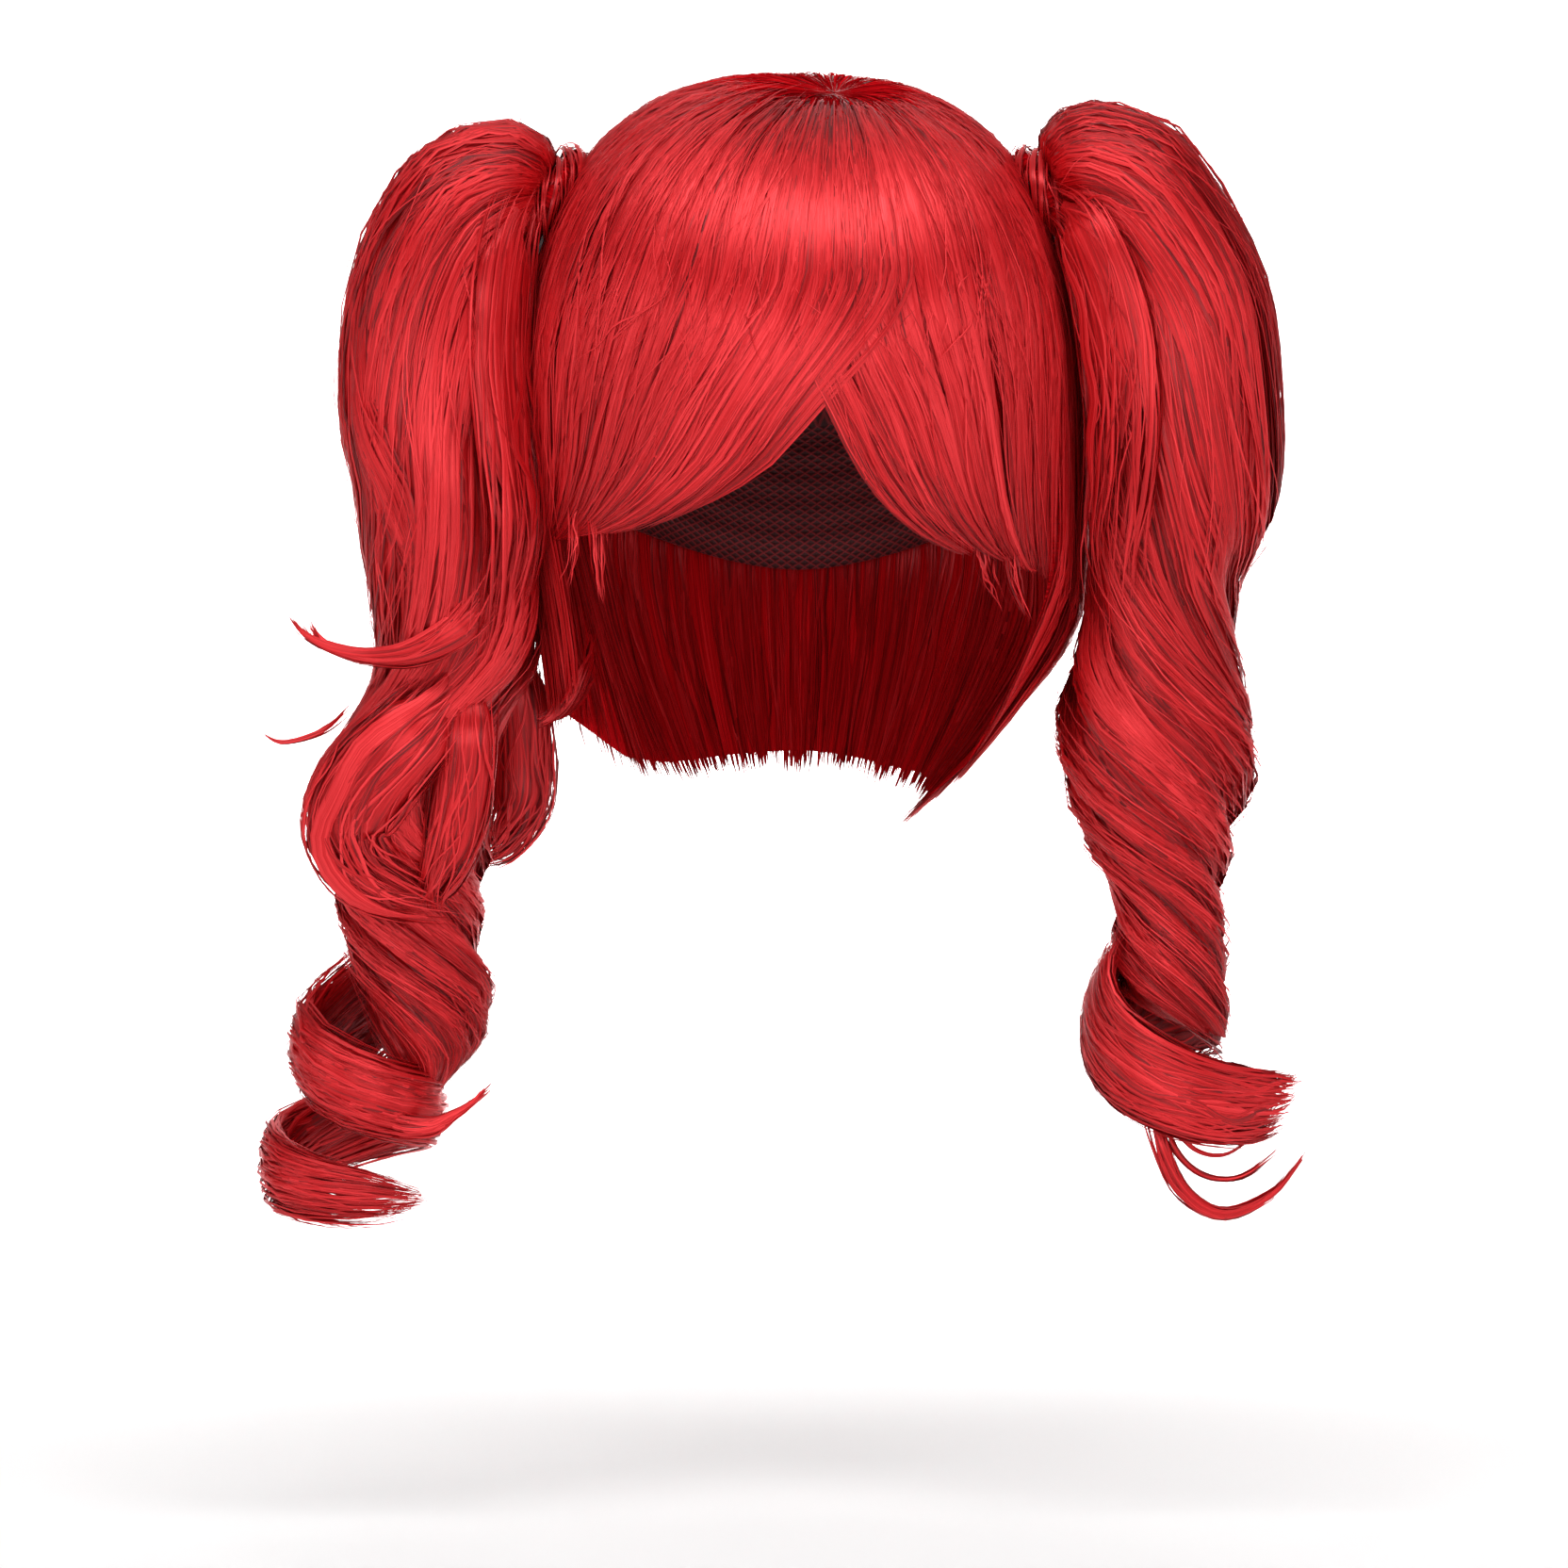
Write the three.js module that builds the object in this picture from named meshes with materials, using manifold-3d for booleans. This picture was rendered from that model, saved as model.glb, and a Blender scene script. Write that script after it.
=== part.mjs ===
// Twin-ponytail wig: a net cap, a bob of straight hair that radiates from a whorl, a swept
// fringe in two halves, and two curled ponytails, each on a hidden clip.
// Millimetres, +Z up, the face looks along -Y and +X is the wearer's left.
// The origin is the top of the head, where the cap sits.
import * as THREE from "three";
import { mergeVertices } from "three/addons/utils/BufferGeometryUtils.js";
import Module from "manifold-3d";

const wasm = await Module();
wasm.setup();

// Driving dimensions
const HEAD_HALF_WIDTH = 76;
const HEAD_HALF_LENGTH = 95;
const BROW_DROP = 100; // from the top of the head down to its widest level
const PLAN_POWER = 2.2; // roundness of the head seen from above
const DOME_POWER = 2.5; // roundness of the head seen from the front
const CAP_WALL = 2;
const SEAT_GAP = 0.5; // between pieces that lie on each other
const NET_GAP = 1.3; // from the net to the facets of the hair on it
const HAIR_INSIDE = CAP_WALL + NET_GAP; // offsets from the head
const HAIR_OUTSIDE = 11;
const TIP_OUTSIDE = 6;
const WHORL = { x: 10.5, y: -36 };
const EDGE_GAP = 0.01; // between the crown and the hair below it, share of the reach
const LOCK_RELIEF = 1.1; // depth of the grooves between locks of the bob
const LOCK_WIDTH = 10; // degrees of azimuth for one lock of the bob
const GROOVE_RISE = 3; // grooves reach their depth over one part in this many from the whorl
const FRINGE_JAG = 0.1; // how far tips of neighbouring locks differ, share of their drop
const BOB_JAG = 0.03;
const SIDE_FROM = 58.2; // azimuths where the straight hair starts and where it becomes the nape
const SIDE_TO = 112;
const NAPE_FROM = 112.8;
const CURTAIN_BROW = 0.25; // share of the straight hair's rows that lie above the brow

const HAIR = new THREE.MeshStandardMaterial({ color: 0xb5222b, roughness: 0.42, metalness: 0 });
const DEEP_HAIR = new THREE.MeshStandardMaterial({ color: 0x8f161e, roughness: 0.5, metalness: 0 });
const NET = new THREE.MeshStandardMaterial({ color: 0x4a0d12, roughness: 0.85, metalness: 0 });
const CLIP = new THREE.MeshStandardMaterial({ color: 0x7a1219, roughness: 0.35, metalness: 0 });

const radians = THREE.MathUtils.degToRad;
const mix = THREE.MathUtils.lerp;
const clamp01 = (value) => Math.min(1, Math.max(0, value));

// Tables

// What hangs below the brow level, by azimuth from the face, positive to the wearer's left.
// drop: length below the brow. tuck: share of the outline left at the tips. start: share of
// the drop where the tuck begins. bend: above 1, the tuck comes late. sway: how far the tips
// move forward.
const HANG = [
  { azimuth: -180, drop: 108, tuck: 0.64, start: 0.5, bend: 1.4, sway: 0 },
  { azimuth: -140, drop: 110, tuck: 0.62, start: 0.45, bend: 1.4, sway: 0 },
  { azimuth: -112, drop: 106, tuck: 0.66, start: 0.1, bend: 1.1, sway: 6 },
  { azimuth: -92, drop: 90, tuck: 0.84, start: 0, bend: 0.8, sway: 4 },
  { azimuth: -75, drop: 84, tuck: 0.86, start: 0, bend: 0.8, sway: 0 },
  { azimuth: -58, drop: 74, tuck: 0.86, start: 0, bend: 0.8, sway: 0 },
  { azimuth: 0, drop: 30, tuck: 0.97, start: 0, bend: 1.4, sway: 0 },
  { azimuth: 58, drop: 84, tuck: 0.8, start: 0.45, bend: 1.4, sway: 0 },
  { azimuth: 75, drop: 103, tuck: 0.56, start: 0.5, bend: 1.4, sway: 12 },
  { azimuth: 95, drop: 115, tuck: 0.34, start: 0.5, bend: 1.4, sway: 24 },
  { azimuth: 115, drop: 117, tuck: 0.46, start: 0.5, bend: 1.4, sway: 14 },
  { azimuth: 140, drop: 113, tuck: 0.58, start: 0.5, bend: 1.4, sway: 0 },
  { azimuth: 180, drop: 108, tuck: 0.64, start: 0.5, bend: 1.4, sway: 0 },
];

// Lower edge of the net cap: its drop below the brow level, negative above it.
const CAP_EDGE = [
  { azimuth: -180, drop: 46, narrow: 0.9 },
  { azimuth: -120, drop: 26, narrow: 0.95 },
  { azimuth: -80, drop: 10, narrow: 0.985 },
  { azimuth: -45, drop: -34, narrow: 1 },
  { azimuth: 0, drop: -42, narrow: 1 },
  { azimuth: 45, drop: -34, narrow: 1 },
  { azimuth: 80, drop: 10, narrow: 0.985 },
  { azimuth: 120, drop: 26, narrow: 0.95 },
  { azimuth: 180, drop: 46, narrow: 0.9 },
];

// Share of the way from whorl to brow where the crown ends and the hair below it begins.
const CROWN_EDGE = [
  { azimuth: -180, reach: 0.97 },
  { azimuth: -66, reach: 0.95 },
  { azimuth: -48, reach: 0.72 },
  { azimuth: 48, reach: 0.72 },
  { azimuth: 66, reach: 0.95 },
  { azimuth: 180, reach: 0.97 },
];

// The two halves of the fringe, from the parting to the temple: azimuths at the top and at
// the tips, and the drop of the tips below the brow.
const FRINGE_RIGHT = [
  { top: 4.6, tip: -14, drop: 17 },
  { top: -18, tip: -26, drop: 20 },
  { top: -40, tip: -39, drop: 21 },
  { top: -57.4, tip: -52, drop: 22 },
];
const FRINGE_LEFT = [
  { top: 5.6, tip: 13, drop: 16 },
  { top: 22, tip: 23, drop: 25 },
  { top: 40, tip: 35, drop: 32 },
  { top: 57.4, tip: 50, drop: 36 },
];
const FRINGE_SWEEP = 1.6; // above 1, the hair turns to the side mostly near its tips
const FRINGE_BROW = 0.62; // share of the fringe's length that lies above the brow

// A ponytail, one row for each section from the clip to the tip. inX, inZ: the section's edge
// next to the head, as distance from the middle and height. outX, outZ: its far edge. y: its
// centre front to back. deep: its half size front to back. turn: how far the hair has wound
// round the ponytail by that level.
const TAIL_LEFT = [
  { inX: 82.1, inZ: -32.3, outX: 72.4, outZ: -15.7, y: -12, deep: 21, turn: 0 },
  { inX: 81.2, inZ: -40, outX: 74.4, outZ: -4.5, y: -15, deep: 26, turn: 0 },
  { inX: 82.4, inZ: -47, outX: 88.4, outZ: 3, y: -18, deep: 30, turn: 0 },
  { inX: 83.4, inZ: -54, outX: 113.8, outZ: -4.5, y: -21, deep: 33, turn: 0 },
  { inX: 84.2, inZ: -63, outX: 132.6, outZ: -30, y: -24, deep: 34, turn: 0 },
  { inX: 84.8, inZ: -75, outX: 142.6, outZ: -56, y: -26, deep: 34.5, turn: 0 },
  { inX: 85.4, inZ: -90, outX: 145.5, outZ: -86, y: -27, deep: 34, turn: 2 },
  { inX: 85.4, inZ: -111, outX: 146, outZ: -111, y: -27, deep: 33, turn: 8 },
  { inX: 85.4, inZ: -129, outX: 143, outZ: -129, y: -26, deep: 31, turn: 20 },
  { inX: 85.6, inZ: -143, outX: 135, outZ: -143, y: -24, deep: 27, turn: 42 },
  { inX: 84.6, inZ: -156, outX: 134, outZ: -156, y: -21, deep: 26, turn: 66 },
  { inX: 80, inZ: -171, outX: 136, outZ: -171, y: -17, deep: 28, turn: 98 },
  { inX: 76.5, inZ: -190, outX: 142, outZ: -190, y: -14, deep: 30, turn: 138 },
  { inX: 80, inZ: -210, outX: 140, outZ: -210, y: -11, deep: 28, turn: 184 },
  { inX: 87, inZ: -226, outX: 134.4, outZ: -226, y: -9, deep: 24, turn: 236 },
  { inX: 95.5, inZ: -240, outX: 131, outZ: -240, y: -8, deep: 18, turn: 292 },
  { inX: 95.5, inZ: -254, outX: 132.5, outZ: -254, y: -8, deep: 18, turn: 346 },
  { inX: 97, inZ: -266, outX: 133, outZ: -271, y: -7, deep: 17, turn: 402 },
  { inX: 103, inZ: -274, outX: 133.5, outZ: -282, y: -6, deep: 13, turn: 446 },
  { inX: 115, inZ: -281, outX: 132, outZ: -289, y: -5, deep: 6, turn: 470 },
];
const TAIL_RIGHT = [
  { inX: 82.1, inZ: -32.3, outX: 72.6, outZ: -15.7, y: -12, deep: 21, turn: 0 },
  { inX: 81.2, inZ: -40, outX: 77, outZ: -8, y: -15, deep: 26, turn: 0 },
  { inX: 82.2, inZ: -47, outX: 91, outZ: -2.5, y: -18, deep: 30, turn: 0 },
  { inX: 83.2, inZ: -54, outX: 113.4, outZ: -10, y: -22, deep: 33, turn: 0 },
  { inX: 83.6, inZ: -63, outX: 129.6, outZ: -31, y: -25, deep: 34.5, turn: 0 },
  { inX: 84, inZ: -75, outX: 138.6, outZ: -58, y: -28, deep: 35, turn: -2 },
  { inX: 84.4, inZ: -87, outX: 140.8, outZ: -84, y: -30, deep: 35, turn: -4 },
  { inX: 84.2, inZ: -101, outX: 139.5, outZ: -101, y: -32, deep: 34, turn: -4 },
  { inX: 82.6, inZ: -115, outX: 135.6, outZ: -115, y: -33, deep: 33, turn: 0 },
  { inX: 79.8, inZ: -129, outX: 134.2, outZ: -129, y: -33, deep: 31, turn: 8 },
  { inX: 77.6, inZ: -143, outX: 132.2, outZ: -143, y: -32, deep: 29, turn: 20 },
  { inX: 76.2, inZ: -157, outX: 130, outZ: -157, y: -30, deep: 27, turn: 36 },
  { inX: 79, inZ: -170, outX: 129, outZ: -170, y: -27, deep: 25, turn: 54 },
  { inX: 87.5, inZ: -183, outX: 135.5, outZ: -183, y: -24, deep: 25, turn: 76 },
  { inX: 93.5, inZ: -199, outX: 147, outZ: -199, y: -21, deep: 27, turn: 94 },
  { inX: 93.5, inZ: -215, outX: 152, outZ: -215, y: -18, deep: 28, turn: 96 },
  { inX: 92.5, inZ: -228, outX: 147.5, outZ: -228, y: -16, deep: 26, turn: 76 },
  { inX: 95, inZ: -241, outX: 143, outZ: -241, y: -14, deep: 22, turn: 36 },
  { inX: 96, inZ: -256, outX: 140.5, outZ: -256, y: -12, deep: 20, turn: -14 },
  { inX: 92.5, inZ: -271, outX: 135.5, outZ: -271, y: -11, deep: 18, turn: -62 },
  { inX: 96, inZ: -286, outX: 130, outZ: -286, y: -11, deep: 15, turn: -104 },
  { inX: 107, inZ: -298, outX: 124, outZ: -298, y: -12, deep: 9, turn: -130 },
  { inX: 113, inZ: -305, outX: 119, outZ: -305, y: -12, deep: 3, turn: -140 },
];

// Open curls, bands of hair wound round nothing. angle: place round the curl, 0 outwards and
// 90 to the back. out, y, z: centre of the turn. radius: of the turn. wide, thick: half sizes.
const CURL_LEFT = [
  { angle: 150, out: 112, y: -5, z: -243, radius: 9, wide: 9, thick: 4.5 },
  { angle: 180, out: 110, y: -5, z: -262, radius: 17, wide: 12, thick: 4 },
  { angle: 220, out: 110, y: -6, z: -284, radius: 20, wide: 14, thick: 4 },
  { angle: 270, out: 112, y: -8, z: -298, radius: 19, wide: 14, thick: 3.8 },
  { angle: 318, out: 118, y: -10, z: -304, radius: 20, wide: 12.5, thick: 3.4 },
  { angle: 342, out: 128, y: -10, z: -304, radius: 19, wide: 9.5, thick: 2.8 },
  { angle: 356, out: 134, y: -9, z: -300, radius: 18, wide: 2, thick: 1 },
];
const CURL_RIGHT = [
  { angle: 100, out: 120, y: -8, z: -246, radius: 9, wide: 9, thick: 5 },
  { angle: 62, out: 124, y: -8, z: -263, radius: 17, wide: 10, thick: 5.2 },
  { angle: 0, out: 131, y: -8, z: -281, radius: 22.4, wide: 12.5, thick: 5.4 },
  { angle: -62, out: 131, y: -8, z: -295, radius: 22.4, wide: 13, thick: 5.4 },
  { angle: -120, out: 132, y: -8, z: -303, radius: 21.6, wide: 12, thick: 5.4 },
  { angle: -180, out: 135, y: -8, z: -307, radius: 21.4, wide: 12, thick: 5.2 },
  { angle: -240, out: 139, y: -8, z: -312, radius: 20.4, wide: 12.5, thick: 5.2 },
  { angle: -300, out: 142, y: -8, z: -319, radius: 19.6, wide: 13, thick: 5 },
  { angle: -360, out: 142, y: -8, z: -324, radius: 19.8, wide: 13, thick: 4.8 },
  { angle: -420, out: 141, y: -8, z: -329, radius: 19, wide: 11, thick: 4.2 },
  { angle: -468, out: 135, y: -8, z: -332, radius: 20, wide: 8, thick: 3 },
  { angle: -500, out: 131, y: -8, z: -333, radius: 22, wide: 2, thick: 1 },
];

// Loose locks that leave a ponytail: a row for each point, with its half sizes.
const FLICKS_LEFT = [
  [
    { out: 108, y: -27, z: -299, wide: 6, thick: 3 },
    { out: 110, y: -26, z: -314, wide: 4.2, thick: 2.4 },
    { out: 117, y: -24, z: -330, wide: 3.2, thick: 2 },
    { out: 130, y: -23, z: -337.5, wide: 2.8, thick: 1.8 },
    { out: 144, y: -20, z: -332, wide: 2, thick: 1.4 },
    { out: 154, y: -17, z: -319, wide: 0.8, thick: 0.7 },
  ],
];
const FLICKS_RIGHT = [
  [
    { out: 88, y: -54, z: -138, wide: 8, thick: 5 },
    { out: 98, y: -56, z: -153, wide: 7.4, thick: 4 },
    { out: 114, y: -54, z: -162.5, wide: 5, thick: 2.8 },
    { out: 130, y: -50, z: -165, wide: 2.8, thick: 1.8 },
    { out: 143, y: -46.5, z: -161.5, wide: 1.4, thick: 1.2 },
    { out: 152, y: -43, z: -152.5, wide: 0.7, thick: 0.6 },
  ],
  [
    { out: 132, y: -30, z: -180, wide: 3, thick: 2.2 },
    { out: 144, y: -32, z: -188.5, wide: 1.8, thick: 1.4 },
    { out: 154, y: -33, z: -192, wide: 1, thick: 0.9 },
    { out: 161, y: -32, z: -190, wide: 0.6, thick: 0.5 },
  ],
  [
    { out: 92, y: -8, z: -150, wide: 10, thick: 9 },
    { out: 90, y: -4, z: -176, wide: 10, thick: 9 },
    { out: 88, y: -3, z: -200, wide: 10.5, thick: 9 },
    { out: 89, y: -4, z: -219, wide: 10.5, thick: 8 },
    { out: 96, y: -5, z: -227.5, wide: 6, thick: 4 },
  ],
  [
    { out: 119, y: -2, z: -254, wide: 9, thick: 5 },
    { out: 127, y: 5, z: -271, wide: 11, thick: 4 },
    { out: 133, y: 9, z: -288, wide: 11, thick: 3.6 },
    { out: 134, y: 11, z: -304, wide: 8, thick: 3 },
  ],
];
const SIDE_FLICK = [
  { out: 69, y: -22, z: -171, wide: 6, thick: 2.4 },
  { out: 70, y: -23, z: -179, wide: 6, thick: 2.2 },
  { out: 73, y: -23, z: -184.5, wide: 4, thick: 1.8 },
  { out: 77.5, y: -23, z: -187, wide: 0.8, thick: 0.7 },
];

// Sizes of the sweeps
const TAIL_LOCKS = 6;
const TAIL_GROOVE = 0.13; // depth of the grooves between a ponytail's locks, share of its radius
const TAIL_SIDES = 18;
const TAIL_STEPS = 46;
const TAIL_UNEVEN = 0.3; // how far a ponytail's locks differ in width, radians
const BAND_SIDES = 6;
const CURL_STEPS = 3; // stations for each row of a curl's table
const FLICK_STEPS = 2; // the same for a loose lock
const WELD = 1e-4; // points closer than this become one
const HALVINGS = 20; // steps of a search by halves

// Facets of each sheet, across and down
const CAP_FACETS = { columns: 36, rows: 8 };
const CROWN_FACETS = { columns: 72, rows: 7 };
const FRINGE_FACETS = { columns: 14, rows: 8 };
const SIDE_FACETS = { columns: 12, rows: 9 };
const NAPE_FACETS = { columns: 26, rows: 9 };
const CLIP_FACETS = { columns: 3, rows: 8 };

// The clip under each ponytail
const CLIP_CENTRE = { out: 73.5, y: -12 };
const CLIP_HALF_WIDTH = 5;
const CLIP_HALF_LENGTH = 16;
const CLIP_THICK = 2.6;

// Rows worked out between rows

// A table's values at a place between its first row (0) and its last (1), on smooth curves
// that pass through every row.
function between(rows, share) {
  const place = clamp01(share) * (rows.length - 1);
  const first = Math.min(Math.floor(place), rows.length - 2);
  const t = place - first;
  const pick = (step) => rows[Math.min(rows.length - 1, Math.max(0, first + step))];
  const [a, b, c, d] = [pick(-1), pick(0), pick(1), pick(2)];
  const row = {};
  for (const column of Object.keys(b)) {
    const slope0 = (c[column] - a[column]) / 2;
    const slope1 = (d[column] - b[column]) / 2;
    const rise = c[column] - b[column];
    const cubic = slope0 + slope1 - 2 * rise;
    const square = 3 * rise - 2 * slope0 - slope1;
    row[column] = b[column] + t * (slope0 + t * (square + t * cubic));
  }
  return row;
}

// A table's values at an azimuth, eased from each row to the next.
function around(rows, azimuth) {
  const next = Math.max(1, rows.findIndex((row) => row.azimuth >= azimuth));
  const [low, high] = [rows[next - 1], rows[next]];
  const t = (azimuth - low.azimuth) / (high.azimuth - low.azimuth);
  const ease = t * t * (3 - 2 * t);
  const row = {};
  for (const column of Object.keys(low)) row[column] = mix(low[column], high[column], ease);
  return row;
}

// The shape of the head and of the hair on it

// The head's widest outline, grown by an offset, at an azimuth.
function outline(azimuth, offset) {
  const [s, c] = [Math.sin(radians(azimuth)), -Math.cos(radians(azimuth))];
  const across = Math.abs(s / (HEAD_HALF_WIDTH + offset)) ** PLAN_POWER;
  const along = Math.abs(c / (HEAD_HALF_LENGTH + offset)) ** PLAN_POWER;
  const radius = (across + along) ** (-1 / PLAN_POWER);
  return { x: s * radius, y: c * radius };
}

// Height of the head's dome, grown by an offset, over a point of its plan.
function domeHeight(x, y, offset) {
  const across = Math.abs(x / (HEAD_HALF_WIDTH + offset)) ** PLAN_POWER;
  const along = Math.abs(y / (HEAD_HALF_LENGTH + offset)) ** PLAN_POWER;
  const share = Math.min(1, (across + along) ** (1 / PLAN_POWER));
  return (BROW_DROP + offset) * (1 - share ** DOME_POWER) ** (1 / DOME_POWER) - BROW_DROP;
}

// A point of the dome on the line from the whorl (reach 0) to the brow (reach 1).
function crownPoint(azimuth, reach, offset) {
  const edge = outline(azimuth, offset);
  const share = Math.sin((reach * Math.PI) / 2);
  const x = mix(WHORL.x, edge.x, share);
  const y = mix(WHORL.y, edge.y, share);
  return new THREE.Vector3(x, y, domeHeight(x, y, offset));
}

// A point of the hair below the brow (fall 0) down to its tips (fall 1).
function hangPoint(azimuth, fall, offset) {
  const edge = outline(azimuth, offset);
  const row = around(HANG, azimuth);
  const curl = clamp01((fall - row.start) / (1 - row.start));
  const keep = 1 - (1 - row.tuck) * curl ** row.bend;
  const y = edge.y * keep - row.sway * curl * curl;
  return new THREE.Vector3(edge.x * keep, y, -BROW_DROP - row.drop * fall);
}

// Depth of the groove at an azimuth: nothing on a lock's ridge, and most between two locks.
function groove(azimuth) {
  return LOCK_RELIEF * (1 - Math.abs(Math.sin((Math.PI * azimuth) / LOCK_WIDTH)));
}

// Solids from surfaces

// A closed mesh from vertices and triangles, with doubled vertices merged and faces outward.
function closedMesh(points, triangles) {
  const loose = new THREE.BufferGeometry().setFromPoints(points);
  loose.setIndex(triangles.flat());
  const merged = mergeVertices(loose, WELD);
  const at = (i) => new THREE.Vector3().fromBufferAttribute(merged.attributes.position, i);
  const index = Array.from(merged.index.array);
  const kept = [];
  let volume = 0;
  for (let i = 0; i < index.length; i += 3) {
    const [a, b, c] = index.slice(i, i + 3);
    if (a === b || b === c || c === a) continue;
    volume += at(a).dot(at(b).cross(at(c)));
    kept.push([a, b, c]);
  }
  merged.setIndex(kept.flatMap(([a, b, c]) => (volume < 0 ? [a, c, b] : [a, b, c])));
  return merged;
}

// The solid between two sheets, each a function of two shares. A closed sheet joins its
// first column to its last.
function wall(outer, inner, { columns, rows }, closed) {
  const across = closed ? columns : columns + 1;
  const points = [];
  for (const sheet of [outer, inner])
    for (let r = 0; r <= rows; r++)
      for (let c = 0; c < across; c++) points.push(sheet(c / columns, r / rows));
  const at = (side, r, c) => side * across * (rows + 1) + r * across + (c % across);
  const triangles = [];
  const quad = (a, b, c, d) => triangles.push([a, b, c], [a, c, d]);
  for (let r = 0; r < rows; r++)
    for (let c = 0; c < columns; c++) {
      quad(at(0, r, c), at(0, r, c + 1), at(0, r + 1, c + 1), at(0, r + 1, c));
      quad(at(1, r, c), at(1, r + 1, c), at(1, r + 1, c + 1), at(1, r, c + 1));
    }
  for (let c = 0; c < columns; c++) {
    quad(at(0, rows, c), at(0, rows, c + 1), at(1, rows, c + 1), at(1, rows, c));
    quad(at(0, 0, c), at(1, 0, c), at(1, 0, c + 1), at(0, 0, c + 1));
  }
  if (!closed)
    for (let r = 0; r < rows; r++) {
      quad(at(0, r, 0), at(0, r + 1, 0), at(1, r + 1, 0), at(1, r, 0));
      quad(at(0, r, columns), at(1, r, columns), at(1, r + 1, columns), at(0, r + 1, columns));
    }
  return closedMesh(points, triangles);
}

// The solid through a row of rings, each with the same number of points, and flat ends.
function throughRings(rings) {
  const sides = rings[0].length;
  const middle = (ring) =>
    ring.reduce((sum, p) => sum.add(p), new THREE.Vector3()).divideScalar(sides);
  const points = [...rings.flat(), middle(rings[0]), middle(rings.at(-1))];
  const triangles = [];
  for (let r = 0; r + 1 < rings.length; r++)
    for (let c = 0; c < sides; c++) {
      const [a, b] = [r * sides + c, r * sides + ((c + 1) % sides)];
      triangles.push([a, b, b + sides], [a, b + sides, a + sides]);
    }
  const last = (rings.length - 1) * sides;
  for (let c = 0; c < sides; c++) {
    const next = (c + 1) % sides;
    triangles.push([points.length - 2, next, c], [points.length - 1, last + c, last + next]);
  }
  return closedMesh(points, triangles);
}

// Several closed meshes joined into one.
function fused(geometries) {
  const solids = geometries.map(
    (g) =>
      new wasm.Manifold(
        new wasm.Mesh({
          numProp: 3,
          vertProperties: new Float32Array(g.attributes.position.array),
          triVerts: new Uint32Array(g.index.array),
        }),
      ),
  );
  const made = solids.reduce((sum, solid) => sum.add(solid)).getMesh();
  const geometry = new THREE.BufferGeometry();
  geometry.setAttribute("position", new THREE.BufferAttribute(made.vertProperties, 3));
  geometry.setIndex(new THREE.BufferAttribute(made.triVerts, 1));
  return geometry;
}

// Pieces

// The net cap: a thin dome that follows the head down to an edge over the brow, round the
// ears and across the nape.
function capSheet(offset) {
  return (turn, down) => {
    const azimuth = turn * 360 - 180;
    const edge = around(CAP_EDGE, azimuth);
    const above = edge.drop < 0 ? crownReach(azimuth, edge.drop) : 1;
    const below = Math.max(0, edge.drop) / BROW_DROP;
    const place = down * (above + below);
    if (place <= 1) return crownPoint(azimuth, place, offset);
    const p = crownPoint(azimuth, 1, offset);
    const keep = mix(1, edge.narrow, (place - 1) / below);
    return new THREE.Vector3(p.x * keep, p.y * keep, p.z - (place - 1) * BROW_DROP);
  };
}

// The reach at which the dome comes down to a height above the brow.
function crownReach(azimuth, drop) {
  let [low, high] = [0, 1];
  for (let step = 0; step < HALVINGS; step++) {
    const middle = (low + high) / 2;
    if (crownPoint(azimuth, middle, 0).z > -BROW_DROP - drop) low = middle;
    else high = middle;
  }
  return low;
}

// The hair on the crown, from the whorl to where the fringe, sides and nape begin.
function crownSheet(offset, relief) {
  return (turn, down) => {
    const azimuth = turn * 360 - 180;
    const reach = down * around(CROWN_EDGE, azimuth).reach;
    return crownPoint(azimuth, reach, offset - relief * groove(azimuth) * clamp01(down * GROOVE_RISE));
  };
}

// One half of the fringe, from the parting to the temple and from the crown to its tips.
function fringeSheet(rows, outside) {
  return (across, down) => {
    const row = between(rows, across);
    const azimuth = mix(row.top, row.tip, down ** FRINGE_SWEEP);
    const top = around(CROWN_EDGE, row.top).reach + EDGE_GAP;
    const thin = mix(HAIR_OUTSIDE, TIP_OUTSIDE, down * down) - groove(row.top);
    const offset = outside ? thin : HAIR_INSIDE;
    if (down <= FRINGE_BROW)
      return crownPoint(azimuth, mix(top, 1, down / FRINGE_BROW), offset);
    const p = crownPoint(azimuth, 1, offset);
    const jag = 1 + FRINGE_JAG * Math.cos((2 * Math.PI * row.top) / LOCK_WIDTH);
    p.z -= (row.drop * jag * (down - FRINGE_BROW)) / (1 - FRINGE_BROW);
    return p;
  };
}

// Straight hair between two azimuths, from the crown's edge past the brow to its tips.
function curtainSheet(from, to, outside) {
  return (across, down) => {
    const azimuth = mix(from, to, across);
    const top = around(CROWN_EDGE, azimuth).reach + EDGE_GAP;
    const thin = mix(HAIR_OUTSIDE, TIP_OUTSIDE, down * down) - groove(azimuth);
    const offset = outside ? thin : HAIR_INSIDE;
    if (down <= CURTAIN_BROW)
      return crownPoint(azimuth, mix(top, 1, down / CURTAIN_BROW), offset);
    const jag = 1 + BOB_JAG * Math.cos((2 * Math.PI * azimuth) / LOCK_WIDTH);
    return hangPoint(azimuth, (jag * (down - CURTAIN_BROW)) / (1 - CURTAIN_BROW), offset);
  };
}

// Share of a ponytail's radius at an angle: sharp grooves between round locks.
function tailLobe(angle) {
  const uneven = angle + TAIL_UNEVEN * Math.sin(angle + 1);
  return 1 - TAIL_GROOVE * (1 - Math.abs(Math.sin((TAIL_LOCKS / 2) * uneven)));
}

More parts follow.
